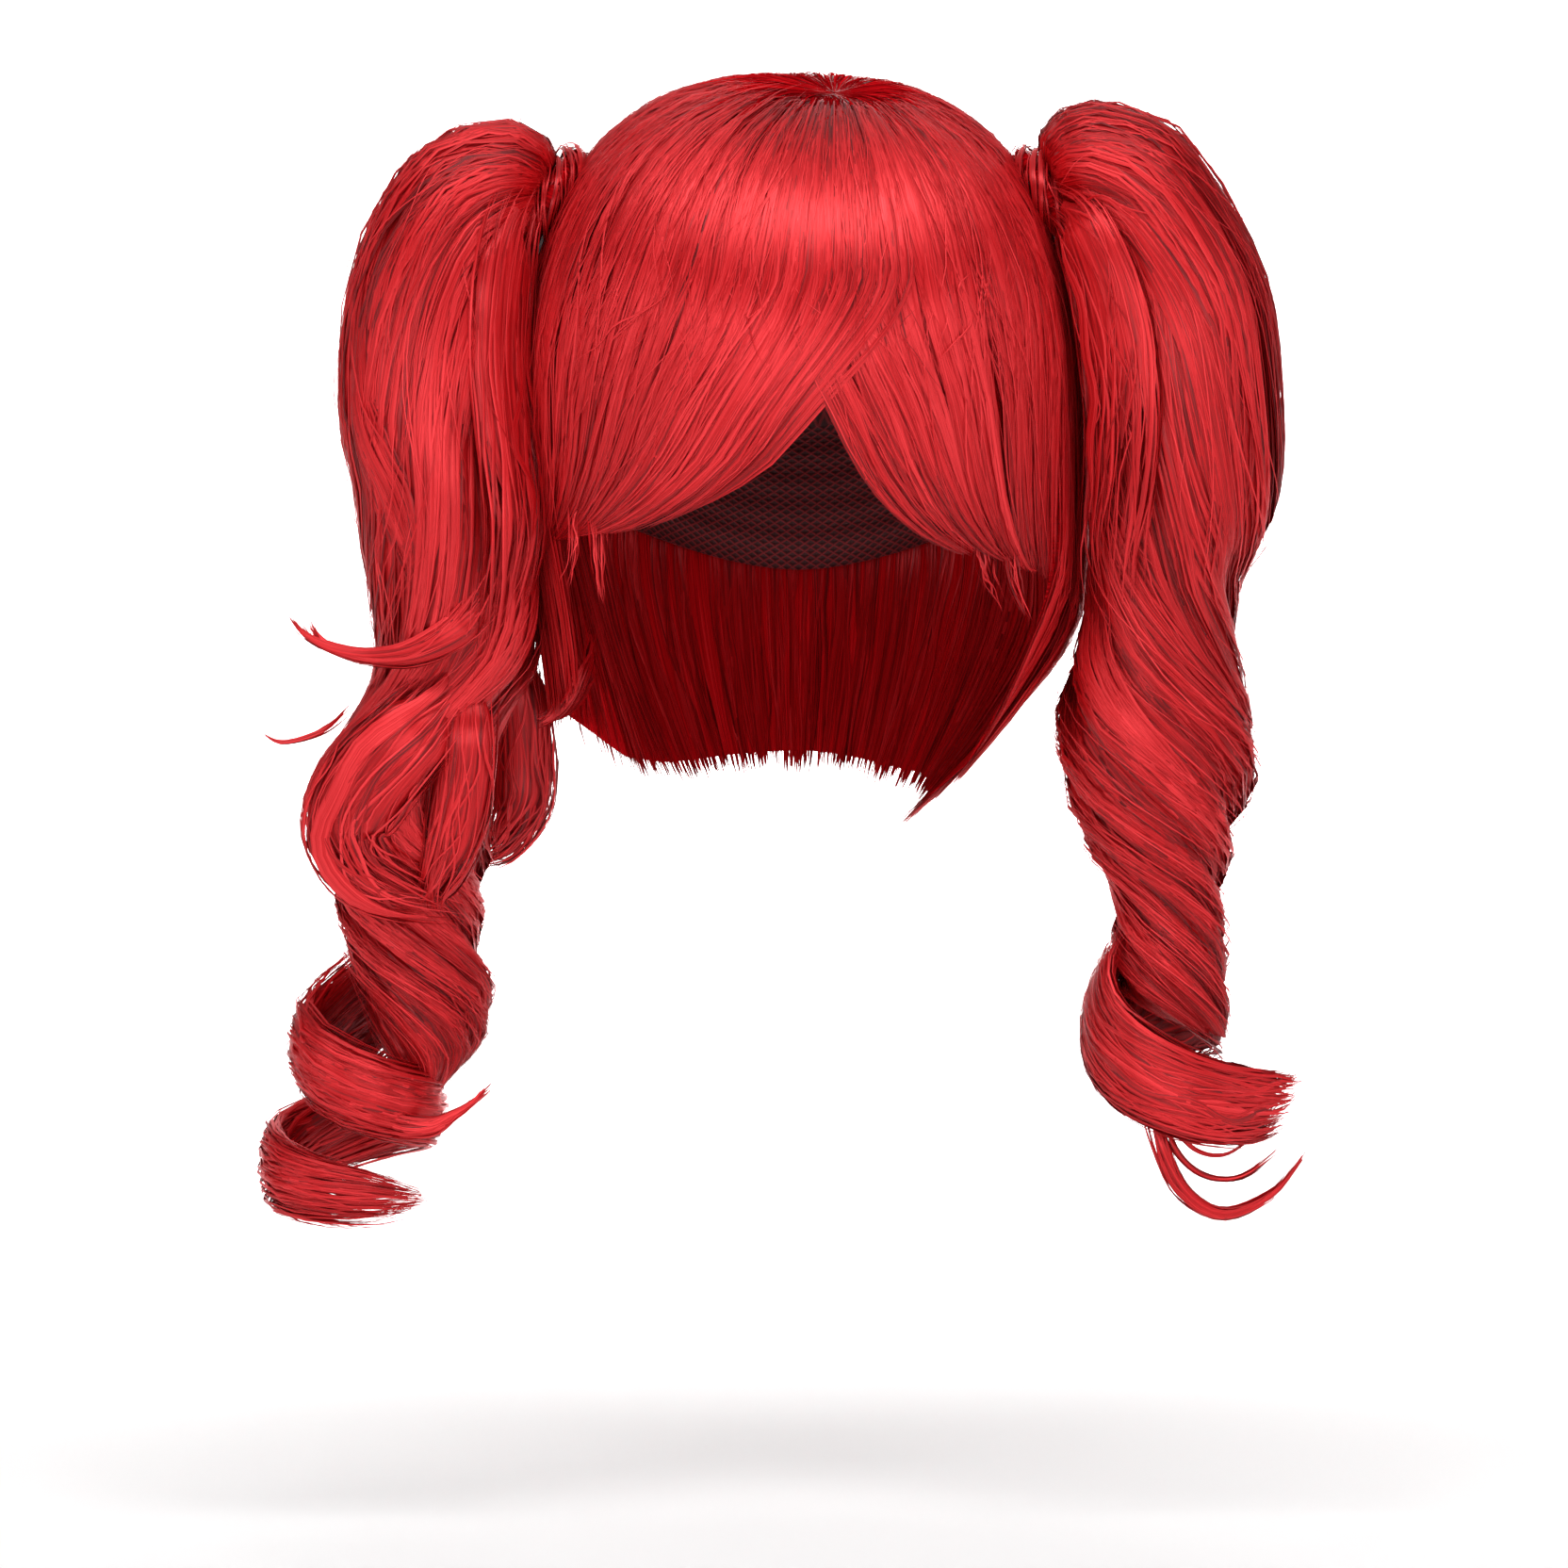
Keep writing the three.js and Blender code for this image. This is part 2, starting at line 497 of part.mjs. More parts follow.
// A ponytail's main bundle: sections between the two edges of its table, wound by each row's
// turn.
function tailBundle(rows, side) {
  const rings = [];
  for (let step = 0; step <= TAIL_STEPS; step++) {
    const row = between(rows, step / TAIL_STEPS);
    const inner = new THREE.Vector3(side * row.inX, row.y, row.inZ);
    const outer = new THREE.Vector3(side * row.outX, row.y, row.outZ);
    const middle = inner.clone().add(outer).divideScalar(2);
    const half = outer.sub(middle);
    const ring = [];
    for (let k = 0; k < TAIL_SIDES; k++) {
      const own = (2 * Math.PI * k) / TAIL_SIDES;
      const angle = own + radians(row.turn);
      const p = middle.clone().addScaledVector(half, tailLobe(own) * Math.cos(angle));
      p.y += row.deep * tailLobe(own) * Math.sin(angle);
      ring.push(p);
    }
    rings.push(ring);
  }
  return throughRings(rings);
}

// A band of hair along stations that each give a point, the way its flat side faces and its
// half sizes.
function band(stations) {
  const rings = stations.map(({ point, face, wide, thick }, i) => {
    const before = stations[Math.max(0, i - 1)].point;
    const after = stations[Math.min(stations.length - 1, i + 1)].point;
    const along = after.clone().sub(before).normalize();
    const across = new THREE.Vector3().crossVectors(along, face).normalize();
    const up = new THREE.Vector3().crossVectors(across, along);
    const ring = [];
    for (let k = 0; k < BAND_SIDES; k++) {
      const angle = (2 * Math.PI * k) / BAND_SIDES;
      const p = point.clone().addScaledVector(across, wide * Math.cos(angle));
      ring.push(p.addScaledVector(up, thick * Math.sin(angle)));
    }
    return ring;
  });
  return throughRings(rings);
}

// An open curl: a band wound round a line of centres.
function curl(rows, side) {
  const steps = (rows.length - 1) * CURL_STEPS;
  const stations = [];
  for (let step = 0; step <= steps; step++) {
    const row = between(rows, step / steps);
    const angle = radians(row.angle);
    const face = new THREE.Vector3(side * Math.cos(angle), Math.sin(angle), 0);
    const point = new THREE.Vector3(side * row.out, row.y, row.z);
    point.addScaledVector(face, row.radius);
    stations.push({ point, face, wide: row.wide, thick: row.thick });
  }
  return band(stations);
}

// A loose lock that faces the front.
function flick(rows, side) {
  const steps = (rows.length - 1) * FLICK_STEPS;
  const stations = [];
  for (let step = 0; step <= steps; step++) {
    const row = between(rows, step / steps);
    const point = new THREE.Vector3(side * row.out, row.y, row.z);
    stations.push({ point, face: new THREE.Vector3(0, -1, 0), wide: row.wide, thick: row.thick });
  }
  return band(stations);
}

// The clip under a ponytail, hidden by hair: a plain bowed bar that lies on the crown.
function clipSheet(side, lift) {
  return (across, along) => {
    const x = side * (CLIP_CENTRE.out + mix(-CLIP_HALF_WIDTH, CLIP_HALF_WIDTH, across));
    const y = CLIP_CENTRE.y + mix(-CLIP_HALF_LENGTH, CLIP_HALF_LENGTH, along);
    return new THREE.Vector3(x, y, domeHeight(x, y, HAIR_OUTSIDE) + SEAT_GAP + lift);
  };
}

const wig = new THREE.Group();

function add(name, geometry, material) {
  const mesh = new THREE.Mesh(geometry, material);
  mesh.name = name;
  wig.add(mesh);
}

add("wig_cap", wall(capSheet(CAP_WALL), capSheet(0), CAP_FACETS, true), NET);
const [crownOuter, crownInner] = [crownSheet(HAIR_OUTSIDE, 1), crownSheet(HAIR_INSIDE, 0)];
add("crown_hair", wall(crownOuter, crownInner, CROWN_FACETS, true), HAIR);
for (const [name, rows] of [
  ["fringe_right", FRINGE_RIGHT],
  ["fringe_left", FRINGE_LEFT],
])
  add(name, wall(fringeSheet(rows, true), fringeSheet(rows, false), FRINGE_FACETS, false), HAIR);

for (const [name, from, to, flicks] of [
  ["side_hair_right", -SIDE_FROM, -SIDE_TO, [SIDE_FLICK]],
  ["side_hair_left", SIDE_FROM, SIDE_TO, []],
]) {
  const [outer, inner] = [curtainSheet(from, to, true), curtainSheet(from, to, false)];
  const curtain = wall(outer, inner, SIDE_FACETS, false);
  add(name, fused([curtain, ...flicks.map((lock) => flick(lock, -1))]), HAIR);
}

// The nape runs from one side to the other round the back, so its azimuth is counted past 180.
function napeSheet(outside) {
  const right = curtainSheet(-180, -NAPE_FROM, outside);
  const left = curtainSheet(NAPE_FROM, 180, outside);
  return (across, down) =>
    across <= 0.5 ? left(across * 2, down) : right(across * 2 - 1, down);
}
add("nape_hair", wall(napeSheet(true), napeSheet(false), NAPE_FACETS, false), DEEP_HAIR);

for (const [hand, side, rows, curlRows, flicks] of [
  ["right", -1, TAIL_RIGHT, CURL_RIGHT, FLICKS_RIGHT],
  ["left", 1, TAIL_LEFT, CURL_LEFT, FLICKS_LEFT],
]) {
  const locks = [curl(curlRows, side), ...flicks.map((lock) => flick(lock, side))];
  add(`ponytail_${hand}`, fused([tailBundle(rows, side), ...locks]), HAIR);
  const [clipTop, clipSeat] = [clipSheet(side, CLIP_THICK), clipSheet(side, 0)];
  add(`clip_${hand}`, wall(clipTop, clipSeat, CLIP_FACETS, false), CLIP);
}

export default wig;
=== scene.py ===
"""Looks of the twin-ponytail wig: hair strands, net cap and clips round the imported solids.

Shapes are worked out in millimetres and put into meshes in metres. Azimuth is in degrees round
the wig: 0 at the front, 90 at the wearer's left. Reach runs from the whorl (0) to the brow (1).
"""

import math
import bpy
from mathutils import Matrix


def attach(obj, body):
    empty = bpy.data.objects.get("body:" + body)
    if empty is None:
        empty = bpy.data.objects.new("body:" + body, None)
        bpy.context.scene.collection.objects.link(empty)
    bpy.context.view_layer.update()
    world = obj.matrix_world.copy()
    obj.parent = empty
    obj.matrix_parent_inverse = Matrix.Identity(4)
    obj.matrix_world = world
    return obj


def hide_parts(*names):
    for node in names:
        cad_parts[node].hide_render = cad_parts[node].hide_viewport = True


bl_info = {
    "name": "Twin-ponytail wig",
    "version": (1, 0, 0),
    "blender": (4, 5, 0),
    "location": "View3D > Sidebar > Wig",
    "description": "Builds the strands, cap, clips and studio of a red wig with two curled ponytails",
    "category": "Object",
}

from typing import NamedTuple

import bmesh
import bpy
import numpy as np
from bpy.props import FloatProperty, FloatVectorProperty, IntProperty, PointerProperty
from mathutils import Vector

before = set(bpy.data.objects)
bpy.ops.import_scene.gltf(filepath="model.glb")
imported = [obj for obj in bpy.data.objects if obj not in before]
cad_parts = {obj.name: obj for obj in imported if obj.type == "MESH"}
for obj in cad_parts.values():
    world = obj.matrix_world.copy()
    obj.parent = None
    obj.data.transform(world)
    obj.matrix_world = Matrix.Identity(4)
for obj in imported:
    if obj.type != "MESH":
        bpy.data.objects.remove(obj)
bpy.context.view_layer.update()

MM = 0.001
RIGHT = -1
LEFT = 1
FULL_TURN = 2 * math.pi

# The seed of all random draws, and the numbers of the sources that no loop's table gives
SEED = 20
SIDE_LOCK_DRAWS = 6
LOOSE_HAIR_DRAWS = 13
INSIDE_DRAWS = 14
WHORL_DRAWS = 15

# The dome that the cap lies on, as the solids have it
DOME_HALF_WIDTH = 76.0
DOME_HALF_LENGTH = 95.0
BROW_DROP = 100.0
PLAN_POWER = 2.2
DOME_POWER = 2.5
WHORL = (10.5, -36.0)

# Layers over the dome, as distances from it
CAP_INSIDE = 0.3
CAP_WALL = 2.0
HAIR_INSIDE = 3.3
PACKED_OUTSIDE = 8.0
PACKED_TIP = 4.0
STRAND_LOW = 8.0
STRAND_HIGH = 10.5
TIP_LOW = 3.6
TIP_HIGH = 6.6
ROOT_LOW = 7.0

# How steeply ridges point up above the dome's middle and down below it
RISE_ABOVE = 0.75
RISE_BELOW = 0.1

# The cap's sewn rows, the cells of its net, and the steps in which its edge is looked for
WEFT_ROWS = 16
WEFT_HEIGHT = 0.7
NET_CELL = 3.4
CAP_STEPS = 400

# The whorl: its dimple, the share of the reach that this takes, and the height of its roots
WHORL_DIMPLE = 2.0
DIMPLE_REACH = 0.2
ROOT_STAND = 0.4

# Side hair stands off behind the ponytails: how far, where and over how many degrees, and between
# which shares of its length it rises and falls back
PUFF = 3.0
PUFF_AZIMUTH = 92.0
PUFF_SPREAD = 12.0
PUFF_RISES = (0.38, 0.5)
PUFF_FALLS = (0.7, 0.9)

# Shares of a strand's length where it leaves the crown and passes the brow
FRINGE_TOP = 0.5
FRINGE_BROW = 0.62
BOB_BROW = 0.62

# Roots: nearest to the whorl, end of the top ones, furthest, and the share of strands on top
FIRST_ROOTS = 0.004
TOP_ROOTS = 0.07
LAST_ROOTS = 0.66
TOP_SHARE = 0.45

# How layers fall with a root's distance and spread, how far roots take to rise, how clumps and
# strands lift, and where thin tips end
LAYER_FALL = 1.1
LAYER_SPREAD = 0.18
ROOT_RISE = 0.14
CLUMP_LIFT = 0.5
STRAND_LIFT = 0.15
TIP_END = 1.02

# The fringe: how far strands fan out at the parting and over which share of its width, how far
# they stray at the tips, its overrun and the easing of its fall
FRINGE_FAN = 4.0
FAN_ACROSS = 0.35
FRINGE_STRAY = 0.022
FRINGE_OVERRUN = 1.2
FRINGE_EASE = 0.5

# Shares of a strand between which clumps lift, the fringe strays, lies over its other half and
# comes back, and the painted shade of roots fades and that of tips sets in
CLUMPS_LIFT = (0.3, 0.9)
FRINGE_STRAYS = (0.7, 1.0)
OVER_RISES = (0.3, 0.5)
OVER_FALLS = (0.75, 0.95)
FRINGE_ROOTS = (0.12, 0.46)
BOB_ROOTS = (0.0, 0.16)
WHORL_ROOTS = (0.15, 0.35)
FRINGE_TIPS = (0.82, 1.0)

# The bob's longest strands, and how much shorter the shortest are
BOB_LONGEST = 1.005
BOB_SHORTER = 0.07

# Short hair of the whorl: its drift in degrees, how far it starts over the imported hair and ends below
# the highest strands, how uneven it is, and the spread of its tints
WHORL_DRIFT = 2.0
WHORL_STAND = 0.5
WHORL_BELOW = 0.4
WHORL_UNEVEN = (-0.5, 0.4)
WHORL_VARIETY = 0.12

# Inner strands of the nape: their drift in degrees, how far inside the hair they hang, how much that
# differs and drifts, their darker tint, which is painted shade inside the hair, and its spread
INSIDE_DRIFT = 0.6
INSIDE_DEPTH = 0.3
INSIDE_SPREAD = 0.8
INSIDE_LIFT = 0.1
INSIDE_PAINTED_SHADE = -0.1
INSIDE_VARIETY = 0.1

# Locks of a ponytail's bundle: their number, how uneven they are, the grooves between them high up
# and low down, where its wound half begins and where the bundle ends
TAIL_LOCKS = 6
TAIL_UNEVEN = 0.3
TAIL_GROOVE_HIGH = 0.12
TAIL_GROOVE_LOW = 0.24
TAIL_WOUND = (0.35, 0.6)
TAIL_LAST = 0.97

# Clumps of a bundle, in radians and shares of its radius and length: the outermost, how much deeper
# the innermost lies, the power that crowds them outside, how they drift round and swell, how
# unevenly they end, and what the shortest lacks
CLUMP_RADIUS = 1.01
CLUMP_DEPTH = 0.08
CLUMP_CROWDING = 1.2
CLUMP_DRIFT = 0.13
CLUMP_SWELL = 0.016
CLUMP_ENDS = 0.03
CLUMP_LACK = 0.1

# Strands of a bundle's clump, in the same measures: their spread, the share of it that is left at the
# tips and where it starts to narrow, how they drift, lie deeper and swell, and how much lower a
# clump is at a distance from its middle
TAIL_SPREAD = 0.26
TAIL_NARROW = 0.35
TAIL_NARROWS = 0.6
TAIL_DRIFT = 0.035
TAIL_DEPTH = 0.025
TAIL_SWELL = 0.006
TAIL_ROUNDING = 0.06
TAIL_ROUNDED = 0.4

# Limits between which strands of each kind start, end and differ in length, as shares
FRINGE_LENGTHS = (0.76, 1.05)
WHORL_STARTS = (0.0, 0.05)
WHORL_ENDS = (0.16, 0.4)
INSIDE_STARTS = (0.6, 0.7)
INSIDE_LENGTHS = (0.94, 1.02)
TAIL_STARTS = (0.0, 0.01)
TAIL_LENGTHS = (0.94, 1.0)
OVERLAY_STARTS = (0.0, 0.12)
OVERLAY_ENDS = (0.86, 1.0)
LOCK_STARTS = (0.0, 0.3)
LOCK_ENDS = (0.94, 1.0)
CROWN_HAIR_STARTS = (0.05, 0.5)
CROWN_HAIR_ENDS = (0.55, 0.85)
FRINGE_HAIR_STARTS = (0.2, 0.7)
FRINGE_HAIR_ENDS = (0.75, 1.0)
TAIL_HAIR_STARTS = (0.0, 0.85)
TAIL_HAIR_LENGTHS = (0.08, 0.3)

# Packed hair as a share of a bundle's and a lock's section, and the least width of a packed lock
PACKED_TAIL = 0.93
PACKED_LOCK = 0.84
BROAD_LOCK = 7.0

# Packed hair of the fringe: its margin at either edge, its end, its length and where it thins
PACKED_MARGIN = 0.03
PACKED_FRINGE_END = 0.93
PACKED_FRINGE_LENGTH = 0.9
PACKED_FRINGE_THIN = 0.2

# Packed hair of the bob: its end, its length and where it thins
PACKED_BOB_END = 0.985
PACKED_BOB_LENGTH = 0.99
PACKED_BOB_THIN = 0.3

# How far past the crown's edge its packed hair ends and that of the fringe and the bob begins
CROWN_PAST = 0.02
FRINGE_PAST = 0.005
BOB_PAST = 0.01

# How far the nape's inner strands reach past it at either side, in degrees
INSIDE_WIDER = 22.0

# Sizes of walls and packed hair on the flow map, across and along, in mm. The bob's size across is
# that of one degree
CAP_FLOW = (500.0, 200.0)
CROWN_FLOW = (560.0, 150.0)
FRINGE_FLOW = (120.0, 100.0)
BOB_FLOW = (1.6, 120.0)
TAIL_FLOW = (72.0, 300.0)
COLLAR_FLOW = (48.0, 60.0)
LOCK_FLOW = (24.0, 120.0)

# Curls and loose locks: stations of their line, the angle that faces the front, how deep they
# start inside the hair they leave and for how long, and wisps in each
LINE_STATIONS = 121
FRONT_ANGLE = 270.0
LOCK_SUNK = 8.0
LOCK_RISE = 0.28
LOCK_WISPS = 6

# Strands of a lock: how they drift round it, the outermost as a share of its half sizes, the power
# that crowds them outside, and how they swell
LOCK_DRIFT = 0.18
LOCK_RADIUS = 1.03
LOCK_CROWDING = 0.3
LOCK_SWELL = 0.03

# How far tips stray in a lock of at least a width and a raggedness, the share of that by which
# strands of a wisp differ, and where they start to stray
LOCK_STRAY = 1.8
STRAY_WIDTH = 10.0
STRAY_RAGGED = 0.2
STRAY_APART = 0.3
STRAY_FROM = 0.65

# Packed hair of a lock: its start and its furthest end, its size there, and where it is full
CORE_START = 0.08
CORE_END = 0.9
CORE_ROOT = 0.25
CORE_TIP = 0.03
CORE_FULL = (0.2, 0.6)

# The flat locks over a bundle: limits of their starts, lengths and half widths in radians, spread
# of their slants, mean and spread of their tints, and how far they shift from even places
OVERLAY_FROM = (0.02, 0.6)
OVERLAY_LENGTHS = (0.25, 0.42)
OVERLAY_HALF = (0.18, 0.34)
OVERLAY_SLANT = 0.5
OVERLAY_TINT = (0.04, 0.14)
OVERLAY_STAGGER = 0.3

# The rise of a flat lock in shares of the bundle's radius: where it starts, its height, the power of
# its sine along, how much lower its edges are, how strands lie deeper, and how closely it follows
# the grooves. Then the share of its width at its ends, and the drift of its strands
OVERLAY_LOW = 0.93
OVERLAY_RISE = 0.095
OVERLAY_FULLNESS = 0.7
OVERLAY_ROUNDING = 0.5
OVERLAY_DEPTH = 0.012
OVERLAY_HUG = 0.9
OVERLAY_NARROW = 0.3
OVERLAY_DRIFT = 0.02

# The wrap round each ponytail's root: its middle, its slope in x and z, half sizes, the thickness
# of its strands and that of its packed core
COLLAR_MIDDLE = (76.4, -12.0, -31.0)
COLLAR_SLOPE = (10.0, -17.0)
COLLAR_HALF = (15.5, 18.5)
COLLAR_THICK = 6.2
COLLAR_CORE = 5.0

# Strands of the wrap: how far they wind round the ring in radians, how fast they turn round its
# section, their places in it, how they drift and swell, their tint and its spread. Then the angle,
# in degrees, at which the core's last rings lie
COLLAR_WIND = (2.5, 4.5)
COLLAR_TURN = 1.8
COLLAR_PLACES = (0.5, 1.1)
COLLAR_DRIFT = 0.2
COLLAR_SWELL = 0.3
COLLAR_TINT = -0.08
COLLAR_VARIETY = 0.1
COLLAR_LAST = 85.0

# Widths of single hairs, wisps, locks and the rest, as shares of a usual strand's
FINE_HAIR = 0.26
WISP_FINENESS = 0.32
WHORL_FINENESS = 0.5
COLLAR_FINENESS = 0.7
LOCK_FINENESS = 0.8
OVERLAY_FINENESS = 0.9

# Single hairs: their paler tint, which is painted light that they catch, and its spread, the waves
# along them, how many stand off a ponytail, and how near to the front's middle, in degrees, and at
# which share they end above the fringe's tips
HAIR_PAINTED_LIGHT = 0.22
HAIR_VARIETY = 0.14
HAIR_WAVES = 0.6
STANDING_SHARE = 0.22
FRONT_HAIRS = 52.0
FRONT_END = 0.57

# Single hairs of the crown: their slant and drift in degrees, how far they start over the strands,
# how that wavers, and how far they stand off
CROWN_HAIR_SLANT = 7.0
CROWN_HAIR_DRIFT = 2.0
CROWN_HAIR_OVER = 0.2
CROWN_HAIR_WAVER = 0.4
CROWN_HAIR_OFF = (0.2, 2.5)

# Single hairs of the fringe: their slant and drift across it, how far they lie over the strands, how
# that wavers, how much higher they are at the tips, and their length
FRINGE_HAIR_SLANT = 0.12
FRINGE_HAIR_DRIFT = 0.02
FRINGE_HAIR_OVER = 0.4
FRINGE_HAIR_WAVER = 0.3
FRINGE_HAIR_TIP = 0.6
FRINGE_HAIR_LENGTH = 1.04

# Single hairs of a ponytail: their slant and drift in radians, then in shares of its radius their
# level, how that wavers, how far some stand off, and how deep those and the others sink at their ends
TAIL_HAIR_SLANT = 0.4
TAIL_HAIR_DRIFT = 0.05
TAIL_HAIR_LEVEL = 1.015
TAIL_HAIR_WAVER = 0.005
TAIL_HAIR_OFF = (0.04, 0.15)
STANDING_SINK = 0.03
LYING_SINK = 0.04

# Cross-section of a strand: a low ridge over a flat back, and its width at root and tip
RIDGE_HEIGHT = 0.32
SIDES = 3
SHARP_ANGLE = math.radians(70)
ROOT_WIDTH = 0.2
TIP_WIDTH = 0.12

# Stations along each kind of strand, how far they shift from strand to strand, and how fast that
# sets in from either end
FRINGE_STATIONS = 16
BOB_STATIONS = 14
TAIL_STATIONS = 28
LOCK_STATIONS = 20
SHORT_STATIONS = 16
FINE_STATIONS = 12
STEP_SHIFT = 0.45
SHIFT_ONSET = 8.0

# Tints: the usual one, spread between clumps, between strands and along a strand
MIDDLE_TINT = 0.5
TAIL_TINT = 0.16
LOCK_TINT = 0.12
FIBRE_VARIETY = 0.08
TINT_DRIFT = 0.04

# Tints of packed hair, darker than the strands' as painted shade of the hair beneath them, and of the cap
PACKED_SHADED_TINT = 0.4
PACKED_TAIL_SHADED_TINT = 0.34
PACKED_COLLAR_SHADED_TINT = 0.2
CAP_TINT = 0.3

# Painted shade of lower layers, grooves, roots, tips and edges; painted light on the side of a lock
# that faces out and painted shade on its back, and the level that has none; painted shade of a fan in
# front of the whorl
LAYER_SHADE = 0.28
MIDDLE_LAYER = 0.65
GROOVE_SHADE = 1.4
GROOVE_LEVEL = 0.95
GROOVE_LIMITS = (-0.35, 0.1)
ROOT_SHADE = 0.2
FRINGE_ROOT_SHADE = 0.12
TIP_SHADE = 0.2
EDGE_SHADE = 0.18
PAINTED_FACE_LIGHT = 0.12
FACE_LEVEL = 0.3
FAN_SHADE = 0.3
FAN_SPREAD = 32.0

# The fringe's painted highlight band, a wave of paler and darker tint along its strands: its
# strength, the share where it lies, how much that differs, the length of its wave, and the share
# where it sets in
PAINTED_HIGHLIGHT_BAND = 0.1
BAND_PLACE = 0.34
BAND_SPREAD = 0.03
BAND_WAVE = 0.36
BAND_START = 0.2

# Gloss of the fibre and of packed hair, and how streaks change it and stand up, in mm
ANISOTROPY = 0.7
SHINE_COLOUR = (1.0, 0.58, 0.6, 1.0)
PACKED_ROUGHNESS = 0.6
PACKED_SHINE = 0.0
PACKED_SHEEN = 0.0
STREAK_ROUGHNESS = 0.2
STREAK_BUMP = 0.6
STREAK_RELIEF = 0.2

# Colours of the cap's net by the distance from a thread in mm and of the clips by their grain, the
# clips' least roughness and what the grain adds, and how fine the grain of clips and paper is
NET_COLOURS = (
    (0.25, (0.24, 0.010, 0.014)),
    (0.6, (0.05, 0.002, 0.003)),
    (0.4, (0.16, 0.007, 0.010)),
)
CLIP_COLOURS = ((0.3, (0.05, 0.003, 0.004)), (0.7, (0.09, 0.006, 0.007)))
CLIP_ROUGHNESS = 0.28
CLIP_UNEVEN = 0.25
CLIP_GRAIN = 1800.0
PAPER_GRAIN = 300.0

# Points nearer than this are one and faces thinner than this are none, in metres
SAME_POINT = 1e-6
FLAT_FACE = 1e-7

# What is shorter than this has no length
NO_LENGTH = 1e-9

# A strand's cell of the bake map: its margin, the size of its sides, and the corners of its ends
CELL_MARGIN = 0.05
CELL_ACROSS = 0.9
CELL_ALONG = 0.8
END_ACROSS = (0.1, 0.4, 0.25, 0.6, 0.9, 0.75)
END_ALONG = (0.88, 0.88, 0.97, 0.88, 0.88, 0.97)

# How far apart neighbouring strands lie on the flow map, in mm
FLOW_SHIFT = 37.0

# The studio's paper in metres: its front edge, its depth, the bend, its top and its half width. Then
# its points round the bend and across
PAPER_FRONT = -3.0
PAPER_DEPTH = 1.5
PAPER_BEND = 1.0
PAPER_TOP = 4.0
PAPER_HALF_WIDTH = 4.0
BEND_POINTS = 13
PAPER_POINTS = 9


class Manner(NamedTuple):
    """How fringe or bob falls: the power that crowds stations to its tips, how far and from which
    share clumps pull strands, how strands and clumps drift across, how clumps differ in length and
    tint, and from which share hair thins."""

    crowding: float
    pull: float
    pull_from: float
    strand_drift: float
    clump_drift: float
    clump_length: float
    tint: float
    thin: float


FRINGE = Manner(
    crowding=0.7,
    pull=1.0,
    pull_from=0.5,
    strand_drift=0.006,
    clump_drift=0.012,
    clump_length=0.05,
    tint=0.11,
    thin=0.62,
)
BOB = Manner(
    crowding=0.85,
    pull=0.3,
    pull_from=0.55,
    strand_drift=0.6,
    clump_drift=1.0,
    clump_length=0.01,
    tint=0.12,
    thin=0.7,
)


class Lamp(NamedTuple):
    """A soft light: its place, its power's setting, its height in metres, how many times as wide it
    is, the angle in degrees over which it spreads, and what it faces if not the wig."""

    name: str
    at: tuple
    power: str
    size: float
    wide: float = 1.0
    spread: float = 180.0
    target: tuple = ()


LAMPS = (
    Lamp("key_light", (0.0, -1.0, 1.5), "key_power", 0.6, wide=4.0),
    Lamp("front_light", (0.0, -2.2, 0.15), "front_power", 0.5, wide=4.0),
    Lamp("top_light", (0.0, 0.2, 1.5), "top_power", 1.5),
    Lamp("rim_light", (0.0, 1.2, 0.8), "rim_power", 1.2),
    Lamp("fill_right", (-1.7, -1.1, 0.2), "fill_power", 1.2),
    Lamp("fill_left", (1.7, -1.1, 0.2), "fill_power", 1.2),
    Lamp("back_light", (0.0, 1.3, 1.5), "back_power", 2.0, spread=80.0, target=(0.0, 2.0, -0.4)),
)


def columns(names, rows):
    """A short table as one array for each named column."""
    return dict(zip(names.split(), np.array(rows, float).T))


# Hair below the brow: how far it falls, how much of its width its tips keep, the share of the
# fall where it starts to turn in, how sharply, and how far the tips sway to the front
HANG = columns("azimuth drop tuck start bend sway", [
    (-180, 108, 0.64, 0.35, 1.6, 0),
    (-140, 110, 0.62, 0.32, 1.6, 0),
    (-112, 106, 0.66, 0.10, 1.1, 6),
    (-92, 90, 0.90, 0.00, 0.8, 4),
    (-75, 86, 0.93, 0.00, 0.8, 0),
    (-58, 76, 0.90, 0.00, 0.8, 0),
    (0, 30, 0.97, 0.00, 1.4, 0),
    (58, 84, 0.80, 0.45, 1.4, 0),
    (75, 104, 0.60, 0.50, 1.4, 12),
    (95, 117, 0.39, 0.50, 1.4, 24),
    (115, 117, 0.46, 0.50, 1.4, 14),
    (140, 113, 0.58, 0.35, 1.6, 0),
    (180, 108, 0.64, 0.35, 1.6, 0),
])

# The cap's edge: its drop below the brow, and the share of the dome's width it keeps there
CAP_EDGE = columns("azimuth drop narrow", [
    (-180, 46, 0.9),
    (-120, 26, 0.95),
    (-80, 10, 0.985),
    (-45, -34, 1),
    (0, -42, 1),
    (45, -34, 1),
    (80, 10, 0.985),
    (120, 26, 0.95),
    (180, 46, 0.9),
])

# Where the crown's hair passes into fringe, sides and nape
CROWN_EDGE = columns("azimuth reach", [
    (-180, 0.97),
    (-66, 0.95),
    (-48, 0.72),
    (48, 0.72),
    (66, 0.95),
    (180, 0.97),
])

